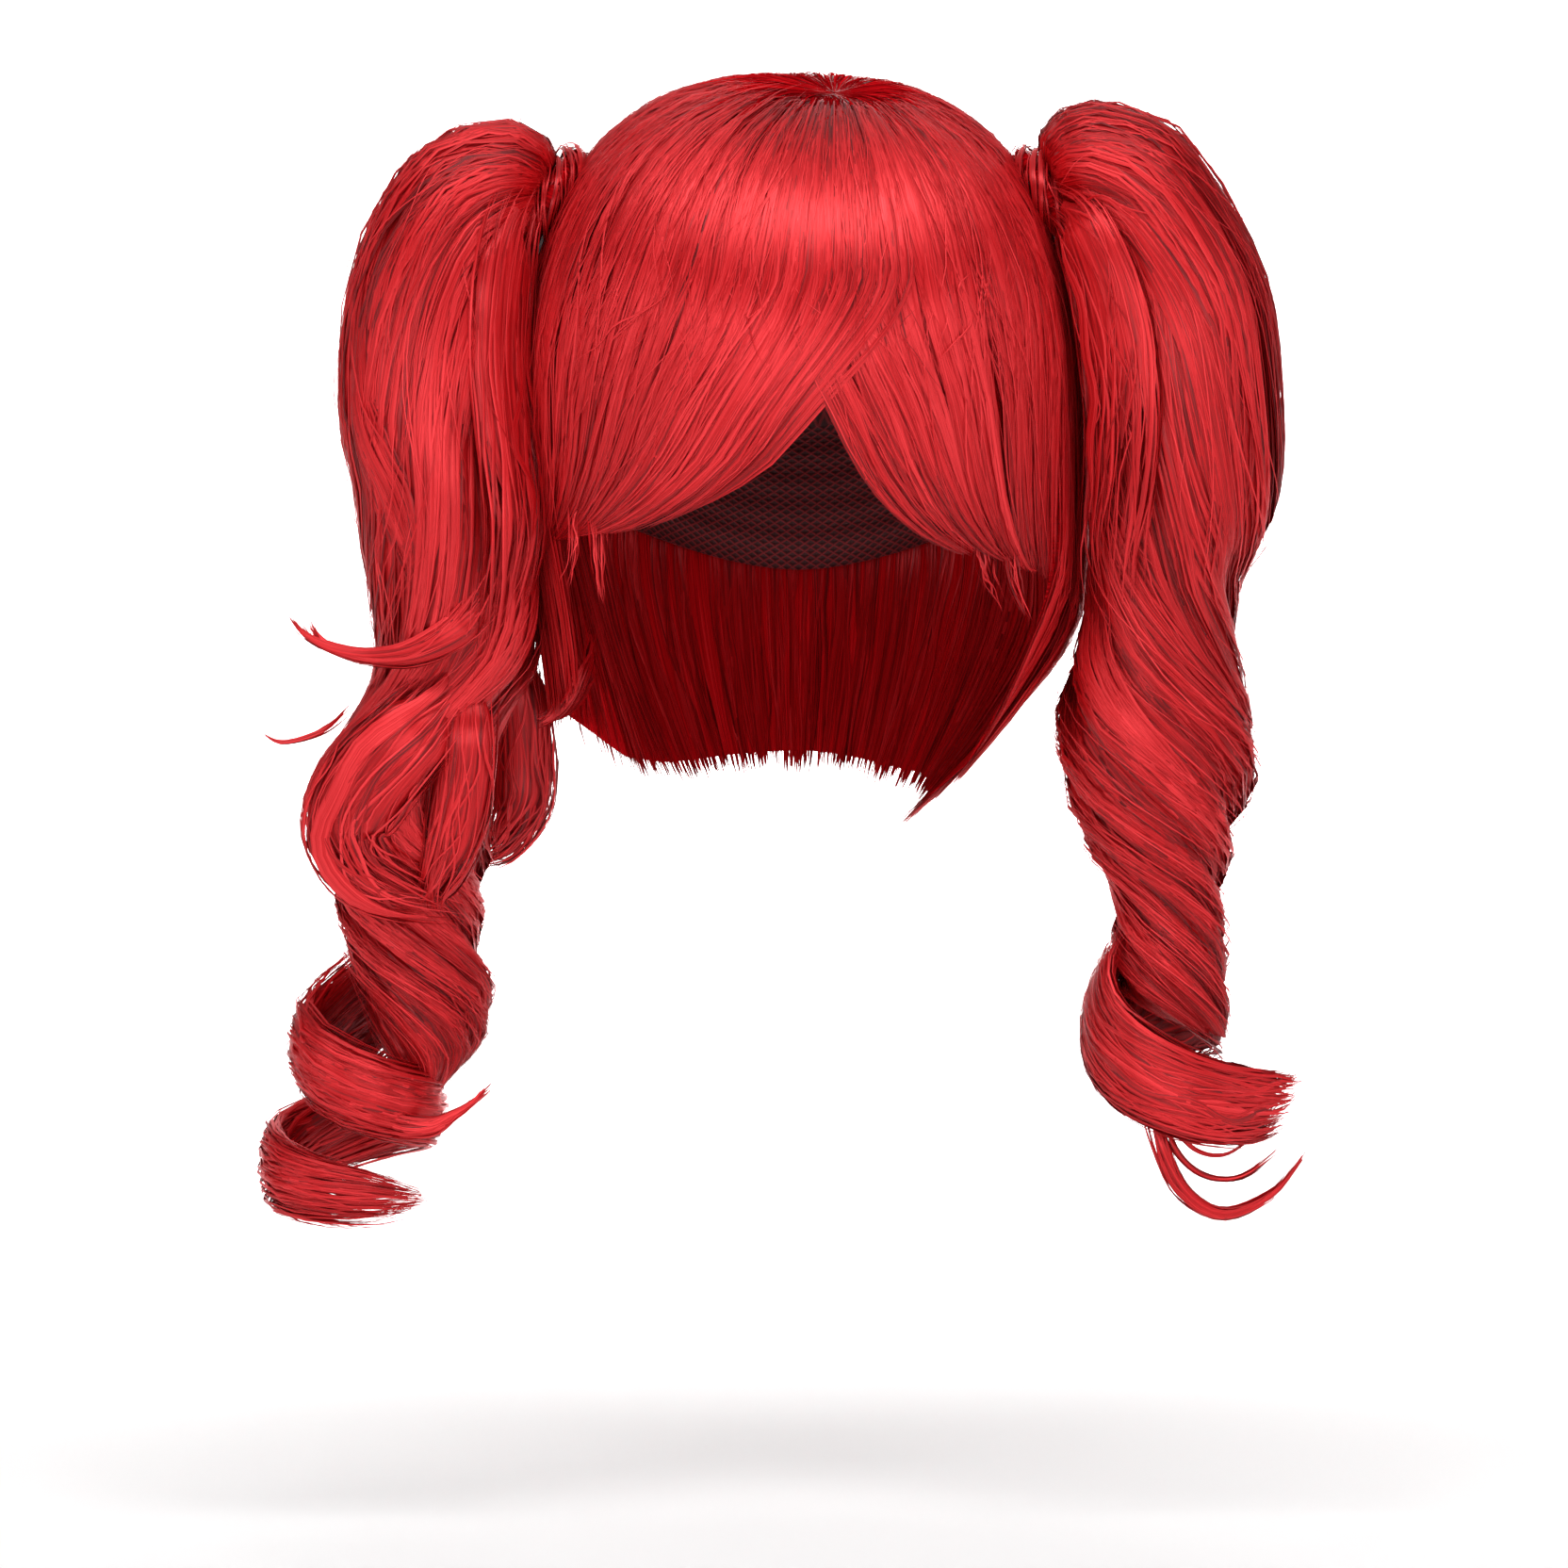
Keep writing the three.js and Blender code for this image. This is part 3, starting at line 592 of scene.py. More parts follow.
# The fringe from the parting to the temple: azimuth at its top and at its tips, its drop below
# the brow, the power by which it sweeps across, and how far it lies over the other half
FRINGE_COLUMNS = "top tip drop sweep over"
FRINGE_RIGHT = columns(FRINGE_COLUMNS, [
    (12.5, -25, 24, 1.55, 1),
    (-5, -38, 26, 1.85, 0.4),
    (-29, -51, 28, 2, 0),
    (-58, -62, 28, 2.2, 0),
])
FRINGE_LEFT = columns(FRINGE_COLUMNS, [
    (-3.4, 25, 30.5, 2, 0),
    (15, 37, 33, 2.1, 0),
    (36, 48, 37, 2.2, 0),
    (58, 59, 39, 2.4, 0),
])

# Each ponytail: the inner and outer edge of its sections, their place and half depth to the
# front, and how far the locks have wound round
TAIL_COLUMNS = "in_x in_z out_x out_z y deep turn"
TAIL_LEFT = columns(TAIL_COLUMNS, [
    (82.1, -32.3, 72.4, -15.7, -12, 21, 0),
    (81.2, -40, 74.4, -4.5, -15, 26, 4),
    (82.4, -47, 88.4, 3, -18, 30, 9),
    (83.4, -54, 113.8, -4.5, -21, 33, 15),
    (84.2, -63, 132.6, -30, -24, 34, 22),
    (84.8, -75, 142.6, -56, -26, 34.5, 30),
    (85.4, -90, 145.5, -86, -27, 34, 38),
    (85.4, -111, 146, -111, -27, 33, 47),
    (85.4, -129, 143, -129, -26, 31, 58),
    (85.6, -143, 135, -143, -24, 27, 76),
    (84.6, -156, 134, -156, -21, 26, 98),
    (80, -171, 136, -171, -17, 28, 128),
    (76.5, -190, 142, -190, -14, 30, 166),
    (80, -210, 140, -210, -11, 28, 210),
    (87, -226, 134.4, -226, -9, 24, 260),
    (95.5, -240, 131, -240, -8, 18, 314),
    (95.5, -254, 132.5, -254, -8, 18, 366),
    (97, -266, 133, -271, -7, 17, 420),
    (103, -274, 133.5, -282, -6, 13, 458),
    (115, -281, 132, -289, -5, 6, 482),
])
TAIL_RIGHT = columns(TAIL_COLUMNS, [
    (82.1, -32.3, 72.6, -15.7, -12, 21, 0),
    (81.2, -40, 77, -8, -15, 26, 3),
    (82.2, -47, 91, -2.5, -18, 30, 7),
    (83.2, -54, 113.4, -10, -22, 33, 12),
    (83.6, -63, 129.6, -31, -25, 34.5, 17),
    (84, -75, 138.6, -58, -28, 35, 22),
    (84.4, -87, 140.8, -84, -30, 35, 26),
    (84.2, -101, 139.5, -101, -32, 34, 30),
    (82.6, -115, 135.6, -115, -33, 33, 35),
    (79.8, -129, 134.2, -129, -33, 31, 42),
    (77.6, -143, 132.2, -143, -32, 29, 52),
    (76.2, -157, 130, -157, -30, 27, 64),
    (79, -170, 129, -170, -27, 25, 78),
    (87.5, -183, 135.5, -183, -24, 25, 94),
    (93.5, -199, 147, -199, -21, 27, 108),
    (93.5, -215, 152, -215, -18, 28, 108),
    (92.5, -228, 147.5, -228, -16, 26, 86),
    (95, -241, 143, -241, -14, 22, 44),
    (96, -256, 140.5, -256, -12, 20, -8),
    (92.5, -271, 135.5, -271, -11, 18, -56),
    (96, -286, 130, -286, -11, 15, -98),
    (107, -298, 124, -298, -12, 9, -126),
    (113, -305, 119, -305, -12, 3, -138),
])

# The open curl at each ponytail's end, wound round a line of centres
CURL_COLUMNS = "angle out y z radius wide thick"
CURL_LEFT = columns(CURL_COLUMNS, [
    (150, 112, -5, -243, 9, 9, 4.5),
    (180, 110, -5, -262, 17, 12, 4),
    (220, 110, -6, -284, 20, 14, 4),
    (270, 112, -8, -298, 19, 14, 3.8),
    (318, 118, -10, -304, 20, 12.5, 3.4),
    (342, 128, -10, -304, 19, 10.5, 3.2),
    (357, 135, -9, -300, 18, 8, 2.4),
])
CURL_RIGHT = columns(CURL_COLUMNS, [
    (100, 120, -8, -246, 9, 9, 5),
    (62, 124, -8, -263, 17, 10, 5.2),
    (0, 131, -8, -281, 22.4, 12.5, 5.4),
    (-62, 131, -8, -295, 22.4, 13, 5.4),
    (-120, 132, -8, -303, 21.6, 12, 5.4),
    (-180, 135, -8, -307, 21.4, 12, 5.2),
    (-240, 139, -8, -312, 20.4, 12.5, 5.2),
    (-300, 142, -8, -319, 19.6, 13, 5),
    (-360, 142, -8, -324, 19.8, 13, 4.8),
    (-420, 141, -8, -329, 19, 11, 4.2),
    (-468, 135, -8, -332, 20, 8, 3),
    (-500, 131, -8, -333, 22, 2, 1),
])

# The back of each open curl's loop
CURL_LEFT_BACK = columns(CURL_COLUMNS, [
    (-20, 114, -5, -266, 13, 18, 4),
    (30, 114, -5, -271, 15, 21, 4),
    (80, 114, -5, -276, 15.5, 20, 4),
    (125, 112, -5, -281, 15.5, 19, 4),
    (170, 110, -5, -284, 15, 18, 3.6),
    (205, 110, -6, -290, 15, 10, 3),
])
CURL_RIGHT_BACK = columns(CURL_COLUMNS, [
    (190, 120, -8, -250, 9, 9, 4),
    (145, 124, -8, -262, 14, 13, 4),
    (100, 129, -8, -276, 17, 15, 4),
    (55, 132, -8, -290, 18, 14, 3.6),
    (15, 133, -8, -302, 18, 9, 3),
])

# Loose locks: places along them and their half sizes
FLICK_COLUMNS = "out y z wide thick"


class Lock(NamedTuple):
    """A curl or loose lock: its table, its tint (darker on the backs of the open curls' loops as
    painted shade), the share of it over which its strands end, and how far its face leans from the
    front to the middle, in degrees. Strands at its lower edge end earlier by the share slant."""

    rows: dict
    tone: float
    ragged: float
    lean: float = 0.0
    slant: float = 0.0


def loose_lock(tone, ragged, rows, lean=0.0):
    """A loose lock from the rows of its table."""
    return Lock(columns(FLICK_COLUMNS, rows), tone, ragged, lean)


# Curls and loose locks of each ponytail, with its end curl first
LOCKS_LEFT = [
    Lock(CURL_LEFT, 0.0, 0.1, slant=0.13),
    loose_lock(0.0, 0.35, [
        (108, -27, -299, 5, 3),
        (110, -26, -314, 3.4, 2.2),
        (117, -24, -330, 2.8, 1.8),
        (130, -23, -337.5, 2, 1.4),
        (144, -20, -332, 1.3, 1),
        (154, -17, -319, 0.7, 0.6),
    ]),
    loose_lock(0.05, 0.4, [
        (109, -26, -300, 3, 2),
        (114, -26, -316, 1.1, 0.8),
        (123, -25, -325, 0.8, 0.6),
        (135, -24, -326, 0.6, 0.5),
        (148, -22, -317, 0.4, 0.4),
    ]),
    loose_lock(0.05, 0.4, [
        (111, -26, -300, 2, 1.5),
        (115, -25, -311, 0.8, 0.6),
        (122, -24, -318, 0.6, 0.5),
        (131, -23, -319, 0.5, 0.4),
        (140, -22, -313, 0.3, 0.3),
    ]),
    loose_lock(0.06, 0.5, [
        (70, -40, -28, 7, 2.5),
        (80.6, -48, -34.5, 10, 3),
        (89, -52, -50, 12, 3),
        (94, -54, -71, 13, 3),
        (96, -55.5, -91, 13, 3),
        (95, -54, -112, 12, 3),
        (93, -49, -133, 10, 2.6),
        (95, -44, -150, 7, 2.2),
    ], lean=30.0),
    # The back of the open curl's loop, darker as painted shade
    Lock(CURL_LEFT_BACK, -0.32, 0.2),
]
LOCKS_RIGHT = [
    Lock(CURL_RIGHT, 0.0, 0.1),
    loose_lock(0.0, 0.2, [
        (88, -54, -138, 8, 4.4),
        (98, -56, -153, 7, 3.4),
        (113, -54, -162.5, 4.8, 2.4),
        (127, -51, -165, 2.7, 1.6),
        (139, -48, -163, 1.4, 1),
        (147, -45, -159, 0.8, 0.6),
        (152, -43, -152, 0.3, 0.3),
    ]),
    loose_lock(0.0, 0.2, [
        (136, -30, -182, 1.8, 1.4),
        (143, -32, -188, 1.2, 1),
        (150, -33, -191, 0.7, 0.6),
        (157, -33, -192, 0.4, 0.4),
        (162, -32, -189.5, 0.2, 0.2),
    ]),
    loose_lock(-0.08, 0.08, [
        (90, -8, -150, 10, 8),
        (87, -4, -176, 11, 8),
        (85.5, -3, -198, 11.5, 8),
        (86.5, -4, -213, 11, 7.5),
        (92, -6, -224, 8.5, 5.5),
        (100, -9, -229, 4, 3),
    ]),
    loose_lock(0.05, 0.3, [
        (136, -26, -304, 5, 2.5),
        (124, -31, -309, 4.6, 2.4),
        (112, -31, -309.5, 3.2, 1.8),
        (105, -29.5, -306, 1.6, 1.1),
        (98.5, -28, -302, 0.8, 0.6),
        (93.5, -27, -297.5, 0.3, 0.3),
    ]),
    loose_lock(0.06, 0.4, [
        (75, -43, -24, 8, 3),
        (82, -49, -36, 10.5, 3),
        (87.5, -51, -54, 11.5, 3.2),
        (89, -50.5, -74, 11.5, 3.2),
        (88, -52, -92, 11.5, 3.2),
        (86, -54, -109, 11.5, 3.2),
        (84.5, -55.5, -125, 11, 3.2),
        (86.5, -54, -142, 10, 3),
        (90, -50, -158, 8, 2.6),
        (95, -45, -176, 4.5, 2),
    ], lean=38.0),
    loose_lock(0.04, 0.4, [
        (95, -46, -166, 8, 3),
        (112, -52, -184, 13, 4.4),
        (128, -50, -201, 15, 5),
        (136, -44, -217, 14, 5),
        (131, -41, -230, 12, 4.4),
        (118, -38, -238, 9, 3.6),
        (104, -30, -244, 4, 2),
    ]),
    loose_lock(0.0, 0.2, [
        (97, -46, -160, 7, 3),
        (99, -47, -180, 9, 4),
        (101, -46, -200, 10, 4.4),
        (104, -44, -218, 9.5, 4.4),
        (108, -40, -231, 7, 3.6),
        (112, -34, -239, 4, 2.4),
        (112, -27, -244, 1, 1),
    ]),
    # The back of the open curl's loop, darker as painted shade
    Lock(CURL_RIGHT_BACK, -0.32, 0.2),
]

# Wisps at the fringe's tips, and the loose lock at the right side
FRINGE_WISPS_RIGHT = [
    loose_lock(0.0, 0.75, [
        (60, -71, -114, 4, 1.5),
        (59, -75, -133, 2.6, 1.2),
        (58.5, -75, -147, 1.2, 0.8),
    ]),
    loose_lock(0.0, 0.75, [
        (66, -65, -114, 4, 1.5),
        (66.5, -68, -131, 2.4, 1.2),
        (69, -68, -143, 1.2, 0.8),
    ]),
]
FRINGE_WISPS_LEFT = [
    loose_lock(0.0, 0.75, [
        (52, -75, -122, 4, 1.5),
        (55, -77, -138, 3, 1.2),
        (60, -75, -148, 1.2, 0.8),
    ]),
    loose_lock(0.0, 0.75, [
        (62, -69, -124, 4, 1.5),
        (64, -71, -141, 3, 1.2),
        (68, -70, -152, 1.2, 0.8),
    ]),
]
SIDE_LOCK = loose_lock(-0.05, 0.5, [
    (66, -20, -158, 7, 2.4),
    (68, -22, -171, 6.5, 2.2),
    (71, -23, -180, 4.5, 1.8),
    (75, -23, -185, 2, 1.2),
    (78.5, -23, -187, 0.5, 0.5),
])


# Small sums


def mix(low, high, share):
    """The value that lies a share of the way from low to high."""
    return low + (high - low) * share


def smooth(value, start, end):
    """Eases from 0 at start to 1 at end: three times the square less twice the cube."""
    share = np.clip((value - start) / (end - start), 0, 1)
    return share * share * (3 - 2 * share)


def bell(value, spread):
    """A bell: 1 at 0, and falling with the square of the value's share of its spread."""
    return np.exp(-((value / spread) ** 2))


def unit(vectors):
    """Vectors with their lengths made one."""
    return vectors / np.maximum(np.linalg.norm(vectors, axis=-1, keepdims=True), NO_LENGTH)


def between(rows, share):
    """A table's values at a share of its rows, on Catmull-Rom curves through them."""
    last = len(next(iter(rows.values()))) - 1
    place = np.clip(share, 0, 1) * last
    first = np.minimum(place.astype(int), last - 1)
    t = place - first
    found = {}
    for name, column in rows.items():
        a, b, c, d = (column[np.clip(first + step, 0, last)] for step in (-1, 0, 1, 2))
        start, end, rise = (c - a) / 2, (d - b) / 2, c - b
        found[name] = b + t * (start + t * (3 * rise - 2 * start - end + t * (start + end - 2 * rise)))
    return found


def around(rows, azimuth):
    """A table's values at an azimuth, eased from each row to the next."""
    stops = rows["azimuth"]
    after = np.clip(np.searchsorted(stops, azimuth), 1, len(stops) - 1)
    ease = smooth(azimuth, stops[after - 1], stops[after])
    return {name: mix(column[after - 1], column[after], ease) for name, column in rows.items()}


def half_turn(azimuth):
    """An azimuth between -180 and 180 degrees."""
    return (azimuth + 180) % 360 - 180


def drift(rng, count, stations, size, waves=1.0):
    """Smooth random drift along each strand: three sine waves of falling height."""
    along = np.linspace(0, FULL_TURN * waves, stations)
    total = np.zeros((count, stations))
    for harmonic in (1, 2, 3):
        phase = rng.uniform(0, FULL_TURN, (count, 1))
        total += rng.normal(0, 1, (count, 1)) / harmonic * np.sin(harmonic * along + phase)
    return size * total


def grid(low, high, spans, steps, closed=False):
    """Two arrays by row and column: a value across from low to high, and a share down from 0 to 1."""
    across = np.linspace(low, high, spans + 1)[: spans if closed else None]
    return np.meshgrid(across, np.linspace(0, 1, steps + 1))


# The shape of the dome and of the hair on it


def plan_share(x, y, offset):
    """How far out a point of the plan lies, as a share of the dome's superellipse."""
    across = np.abs(x / (DOME_HALF_WIDTH + offset)) ** PLAN_POWER
    along = np.abs(y / (DOME_HALF_LENGTH + offset)) ** PLAN_POWER
    return (across + along) ** (1 / PLAN_POWER)


def outline(azimuth, offset):
    """The dome's widest outline, grown by an offset: a superellipse in plan."""
    x, y = np.sin(np.radians(azimuth)), -np.cos(np.radians(azimuth))
    radius = 1 / plan_share(x, y, offset)
    return x * radius, y * radius


def crown_point(azimuth, reach, offset):
    """The dome on the line from the whorl to the brow. Its height is a superellipse of plan_share."""
    edge_x, edge_y = outline(azimuth, offset)
    share = np.sin(np.clip(reach, 0, 1) * math.pi / 2)
    x, y = mix(WHORL[0], edge_x, share), mix(WHORL[1], edge_y, share)
    inside = 1 - np.minimum(plan_share(x, y, offset), 1) ** DOME_POWER
    height = (BROW_DROP + offset) * inside ** (1 / DOME_POWER) - BROW_DROP
    return np.stack(np.broadcast_arrays(x, y, height), axis=-1)


def hang_point(azimuth, fall, offset):
    """Hair below the brow: the outline, drawn in by a power of the fall, and lowered."""
    edge_x, edge_y = outline(azimuth, offset)
    row = around(HANG, half_turn(azimuth))
    curl = np.clip((fall - row["start"]) / (1 - row["start"]), 0, None)
    keep = 1 - (1 - row["tuck"]) * curl ** row["bend"]
    x, y = edge_x * keep, edge_y * keep - row["sway"] * curl * curl
    return np.stack(np.broadcast_arrays(x, y, -BROW_DROP - row["drop"] * fall), axis=-1)


def bob_point(azimuth, share, offset, length=1.0):
    """Straight hair from the whorl (share 0) over the brow to its tips (share 1)."""
    dome = crown_point(azimuth, share / BOB_BROW, offset)
    fall = np.clip((share - BOB_BROW) / (1 - BOB_BROW), 0, None) * length
    return np.where((share > BOB_BROW)[..., None], hang_point(azimuth, fall, offset), dome)


def fringe_point(rows, across, share, offset, length, fan=0.0):
    """Fringe hair from the whorl to its tips. Below the crown it sweeps from its own azimuth, and a
    fan to either side of it, to its tip's azimuth."""
    row = between(rows, across)
    down = np.clip((share - FRINGE_TOP) / (1 - FRINGE_TOP), 0, None) * length
    azimuth = mix(row["top"] + fan, row["tip"], down ** row["sweep"])
    top = around(CROWN_EDGE, row["top"])["reach"]
    reach = np.where(share < FRINGE_TOP, top * share / FRINGE_TOP, mix(top, 1, down / FRINGE_BROW))
    point = crown_point(azimuth, reach, offset)
    below = np.clip((down - FRINGE_BROW) / (1 - FRINGE_BROW), 0, FRINGE_OVERRUN)
    point[..., 2] -= row["drop"] * below * (1 + FRINGE_EASE - FRINGE_EASE * below)
    return point


def cap_point(azimuth, down, offset):
    """The net cap from the whorl (down 0) to its edge over the brow, ears and nape (down 1)."""
    edge = around(CAP_EDGE, azimuth)
    reaches = np.linspace(0, 1, CAP_STEPS)
    heights = crown_point(np.ravel(azimuth)[:, None], reaches, 0)[..., 2]
    above = (heights > -BROW_DROP - np.ravel(edge["drop"])[:, None]).mean(axis=1)
    above = np.where(edge["drop"] < 0, above.reshape(np.shape(azimuth)), 1)
    below = np.maximum(0, edge["drop"]) / BROW_DROP
    place = down * (above + below)
    point = crown_point(azimuth, place, offset)
    under = np.clip(place - 1, 0, None)
    keep = mix(1, edge["narrow"], under / np.maximum(below, NO_LENGTH))
    point[..., :2] *= keep[..., None]
    point[..., 2] -= under * BROW_DROP
    return point


def packed_offset(reach):
    """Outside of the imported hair: level, with a dimple at the whorl."""
    return PACKED_OUTSIDE - WHORL_DIMPLE * (1 - smooth(reach, 0, DIMPLE_REACH))


def outward_of(path):
    """Directions out from the dome's middle, flatter below it, which strands turn their ridges to."""
    out = path - np.array([0.0, 0.0, -BROW_DROP])
    out[..., 2] *= np.where(out[..., 2] > 0, RISE_ABOVE, RISE_BELOW)
    return unit(out)


def tail_lobe(angle, share):
    """Share of a ponytail's radius at an angle: sharp grooves between round locks, deeper in the
    wound lower half."""
    uneven = angle + TAIL_UNEVEN * np.sin(angle + 1)
    groove = mix(TAIL_GROOVE_HIGH, TAIL_GROOVE_LOW, smooth(share, *TAIL_WOUND))
    return 1 - groove * (1 - np.abs(np.sin(TAIL_LOCKS / 2 * uneven)))


def tail_point(rows, side, own, share, radius):
    """A ponytail's bundle: an oval section between two edges, wound by its turn, at a share of its
    radius. Also its middle."""
    row = between(rows, share)
    inner = np.stack([side * row["in_x"], row["y"], row["in_z"]], axis=-1)
    outer = np.stack([side * row["out_x"], row["y"], row["out_z"]], axis=-1)
    middle, half = (inner + outer) / 2, (outer - inner) / 2
    angle = own + np.radians(row["turn"])
    point = middle + half * (radius * np.cos(angle))[..., None]
    point[..., 1] += row["deep"] * radius * np.sin(angle)
    return point, middle


def lock_line(lock, side):
    """Stations along a curl or loose lock: place, the two ways across it, and its half sizes."""
    share = np.linspace(0, 1, LINE_STATIONS)
    row = between(lock.rows, share)
    angle = np.radians(row.get("angle", np.full(share.shape, FRONT_ANGLE - lock.lean)))
    face = np.stack([side * np.cos(angle), np.sin(angle), 0 * angle], axis=-1)
    sunk = LOCK_SUNK * (1 - smooth(share, 0, LOCK_RISE))
    point = np.stack([side * row["out"], row["y"], row["z"]], axis=-1)
    point = point + face * (row.get("radius", 0.0) - sunk)[:, None]
    along = unit(np.gradient(point, axis=0))
    across = unit(np.cross(along, face))
    up = np.cross(across, along)
    sizes = np.stack([row["wide"], row["thick"]], axis=-1)
    return np.concatenate([point, across, up, sizes], axis=-1)


def lock_point(line, share, a, b):
    """A point of a lock: along its line, then a and b of its half sizes off it. Also which way is out."""
    place = np.clip(share, 0, 1) * (len(line) - 1)
    first = np.minimum(place.astype(int), len(line) - 2)
    at = mix(line[first], line[first + 1], (place - first)[..., None])
    point, across, up, wide, thick = np.split(at, (3, 6, 9, 10), axis=-1)
    a, b = a[..., None], b[..., None]
    return point + across * wide * a + up * thick * b, unit(across * a / wide + up * b / thick)


def collar_ways(side):
    """The wrap's middle and its three ways: along its slope, to the front and off the crown."""
    slope = unit(np.array([COLLAR_SLOPE[0] * side, 0.0, COLLAR_SLOPE[1]]))
    stand = np.array([-slope[2] * side, 0.0, slope[0] * side])
    middle = np.array([side * COLLAR_MIDDLE[0], COLLAR_MIDDLE[1], COLLAR_MIDDLE[2]])
    return middle, slope, np.array([0.0, -1.0, 0.0]), stand


# Meshes


def new_piece(name, points, quads, triangles, maps, tint, material):
    """A mesh piece from points in mm and faces, with its UV maps, tint and material."""
    loops = np.concatenate([quads.ravel(), triangles.ravel()])
    starts = np.concatenate(
        [4 * np.arange(len(quads)), 4 * len(quads) + 3 * np.arange(len(triangles))]
    )
    mesh = bpy.data.meshes.new(name)
    mesh.vertices.add(len(points))
    mesh.vertices.foreach_set("co", (points * MM).astype(np.float32).ravel())
    mesh.loops.add(len(loops))
    mesh.loops.foreach_set("vertex_index", loops.astype(np.int32))
    mesh.polygons.add(len(starts))
    mesh.polygons.foreach_set("loop_start", starts.astype(np.int32))
    for map_name, values in maps.items():
        layer = mesh.uv_layers.new(name=map_name)
        layer.uv.foreach_set("vector", values.astype(np.float32).ravel())
    tints = mesh.attributes.new("tint", "FLOAT", "POINT")
    tints.data.foreach_set("value", tint.astype(np.float32).ravel())
    mesh.update(calc_edges=True)
    mesh.validate()
    mesh.shade_smooth()
    mesh.set_sharp_from_angle(angle=SHARP_ANGLE)
    mesh.materials.append(material)
    piece = bpy.data.objects.new(name, mesh)
    bpy.context.scene.collection.objects.link(piece)
    return piece


def corners(left, low, right, high):
    """The corners of map cells, from the lower left one round by the upper ones."""
    return np.stack([left, low, left, high, right, high, right, low], axis=-1)


class Strands(NamedTuple):
    """Many strands with the same number of stations, each array by strand and station."""

    path: np.ndarray
    outward: np.ndarray
    half_width: np.ndarray
    tint: np.ndarray


def joined(*groups):
    """Several groups of strands as one."""
    return Strands(*(np.concatenate(parts) for parts in zip(*groups)))


def strand_piece(name, strands, material):
    """All strands in one piece. A strand is a triangle section (left edge, ridge, right edge)
    carried along its path, with both ends capped. The section stands across the path and its
    ridge points outward. The bake map gives every strand its own cell of a square."""
    count, stations = strands.half_width.shape
    along = unit(np.gradient(strands.path, axis=1))
    across = unit(np.cross(along, strands.outward))
    ridge = np.cross(across, along)
    angles = np.radians([0.0, 90.0, 180.0])
    spread, lift = np.cos(angles)[:, None], RIDGE_HEIGHT * np.sin(angles)[:, None]
    section = across[:, :, None] * spread + ridge[:, :, None] * lift
    points = strands.path[:, :, None] + strands.half_width[:, :, None, None] * section

    corner = np.arange(count * stations * SIDES).reshape(count, stations, SIDES)
    after = np.roll(corner, -1, axis=2)
    quads = np.stack([corner[:, :-1], corner[:, 1:], after[:, 1:], after[:, :-1]], axis=-1)
    caps = np.stack([corner[:, 0], corner[:, -1, ::-1]], axis=1)

    step = np.linalg.norm(np.diff(strands.path, axis=1), axis=-1)
    length = np.concatenate([np.zeros((count, 1)), np.cumsum(step, axis=1)], axis=1)
    shift = FLOW_SHIFT * np.arange(count)[:, None, None]
    shape = (count, stations - 1, SIDES)
    side = np.broadcast_to(np.arange(SIDES), shape)
    width = strands.half_width.max(axis=1)[:, None, None]
    low = np.broadcast_to(length[:, :-1, None], shape)
    high = np.broadcast_to(length[:, 1:, None], shape)
    flow = corners(shift + side * width, low, shift + (side + 1) * width, high)
    cap_start = np.stack([shift[..., 0], 0 * shift[..., 0]], axis=-1)
    cap_flow = np.broadcast_to(cap_start, (count, 2 * SIDES, 2))

    cells = math.ceil(math.sqrt(count))
    cell_x = (np.arange(count) % cells)[:, None, None]
    cell_y = (np.arange(count) // cells)[:, None, None]
    row = np.broadcast_to(np.arange(stations - 1)[:, None], shape)
    left, right = ((cell_x + CELL_MARGIN + CELL_ACROSS * at / SIDES) / cells for at in (side, side + 1))
    low, high = (
        (cell_y + CELL_MARGIN + CELL_ALONG * at / (stations - 1)) / cells for at in (row, row + 1)
    )
    bake = corners(left, low, right, high)
    cap_u = (cell_x[..., 0] + np.array(END_ACROSS)) / cells
    cap_v = (cell_y[..., 0] + np.array(END_ALONG)) / cells
    cap_bake = np.stack([cap_u, cap_v], axis=-1)
    maps = {
        "flow": np.concatenate([flow.reshape(-1, 2), cap_flow.reshape(-1, 2)]),
        "OFBake": np.concatenate([bake.reshape(-1, 2), cap_bake.reshape(-1, 2)]),
    }
    tint = np.repeat(strands.tint, SIDES, axis=1)
    return new_piece(
        name, points.reshape(-1, 3), quads.reshape(-1, 4), caps.reshape(-1, 3), maps, tint, material
    )


def sheet_quads(near, far):
    """Faces between the rows of a sheet of points and its next columns."""
    return np.stack([near[:-1], near[1:], far[1:], far[:-1]], axis=-1).reshape(-1, 4)


def sheet_map(spans, steps):
    """The corners of a sheet's faces on a square, spans across and steps along."""
    u, v = np.meshgrid(np.arange(spans) / spans, np.arange(steps) / steps)
    return corners(u, v, u + 1 / spans, v + 1 / steps).reshape(-1, 4, 2)


def sheet_piece(name, points, quads, flow, tint, material):
    """A piece of quads with one tint. Points that meet at poles are merged, and faces point out."""
    none = np.zeros((0, 3), int)
    shade = np.full(len(points), tint)
    piece = new_piece(name, points, quads, none, {"flow": flow.reshape(-1, 2)}, shade, material)
    work = bmesh.new()
    work.from_mesh(piece.data)
    bmesh.ops.remove_doubles(work, verts=work.verts, dist=SAME_POINT)
    bmesh.ops.dissolve_degenerate(work, edges=work.edges, dist=FLAT_FACE)
    bmesh.ops.recalc_face_normals(work, faces=work.faces)
    work.to_mesh(piece.data)
    work.free()
    return piece


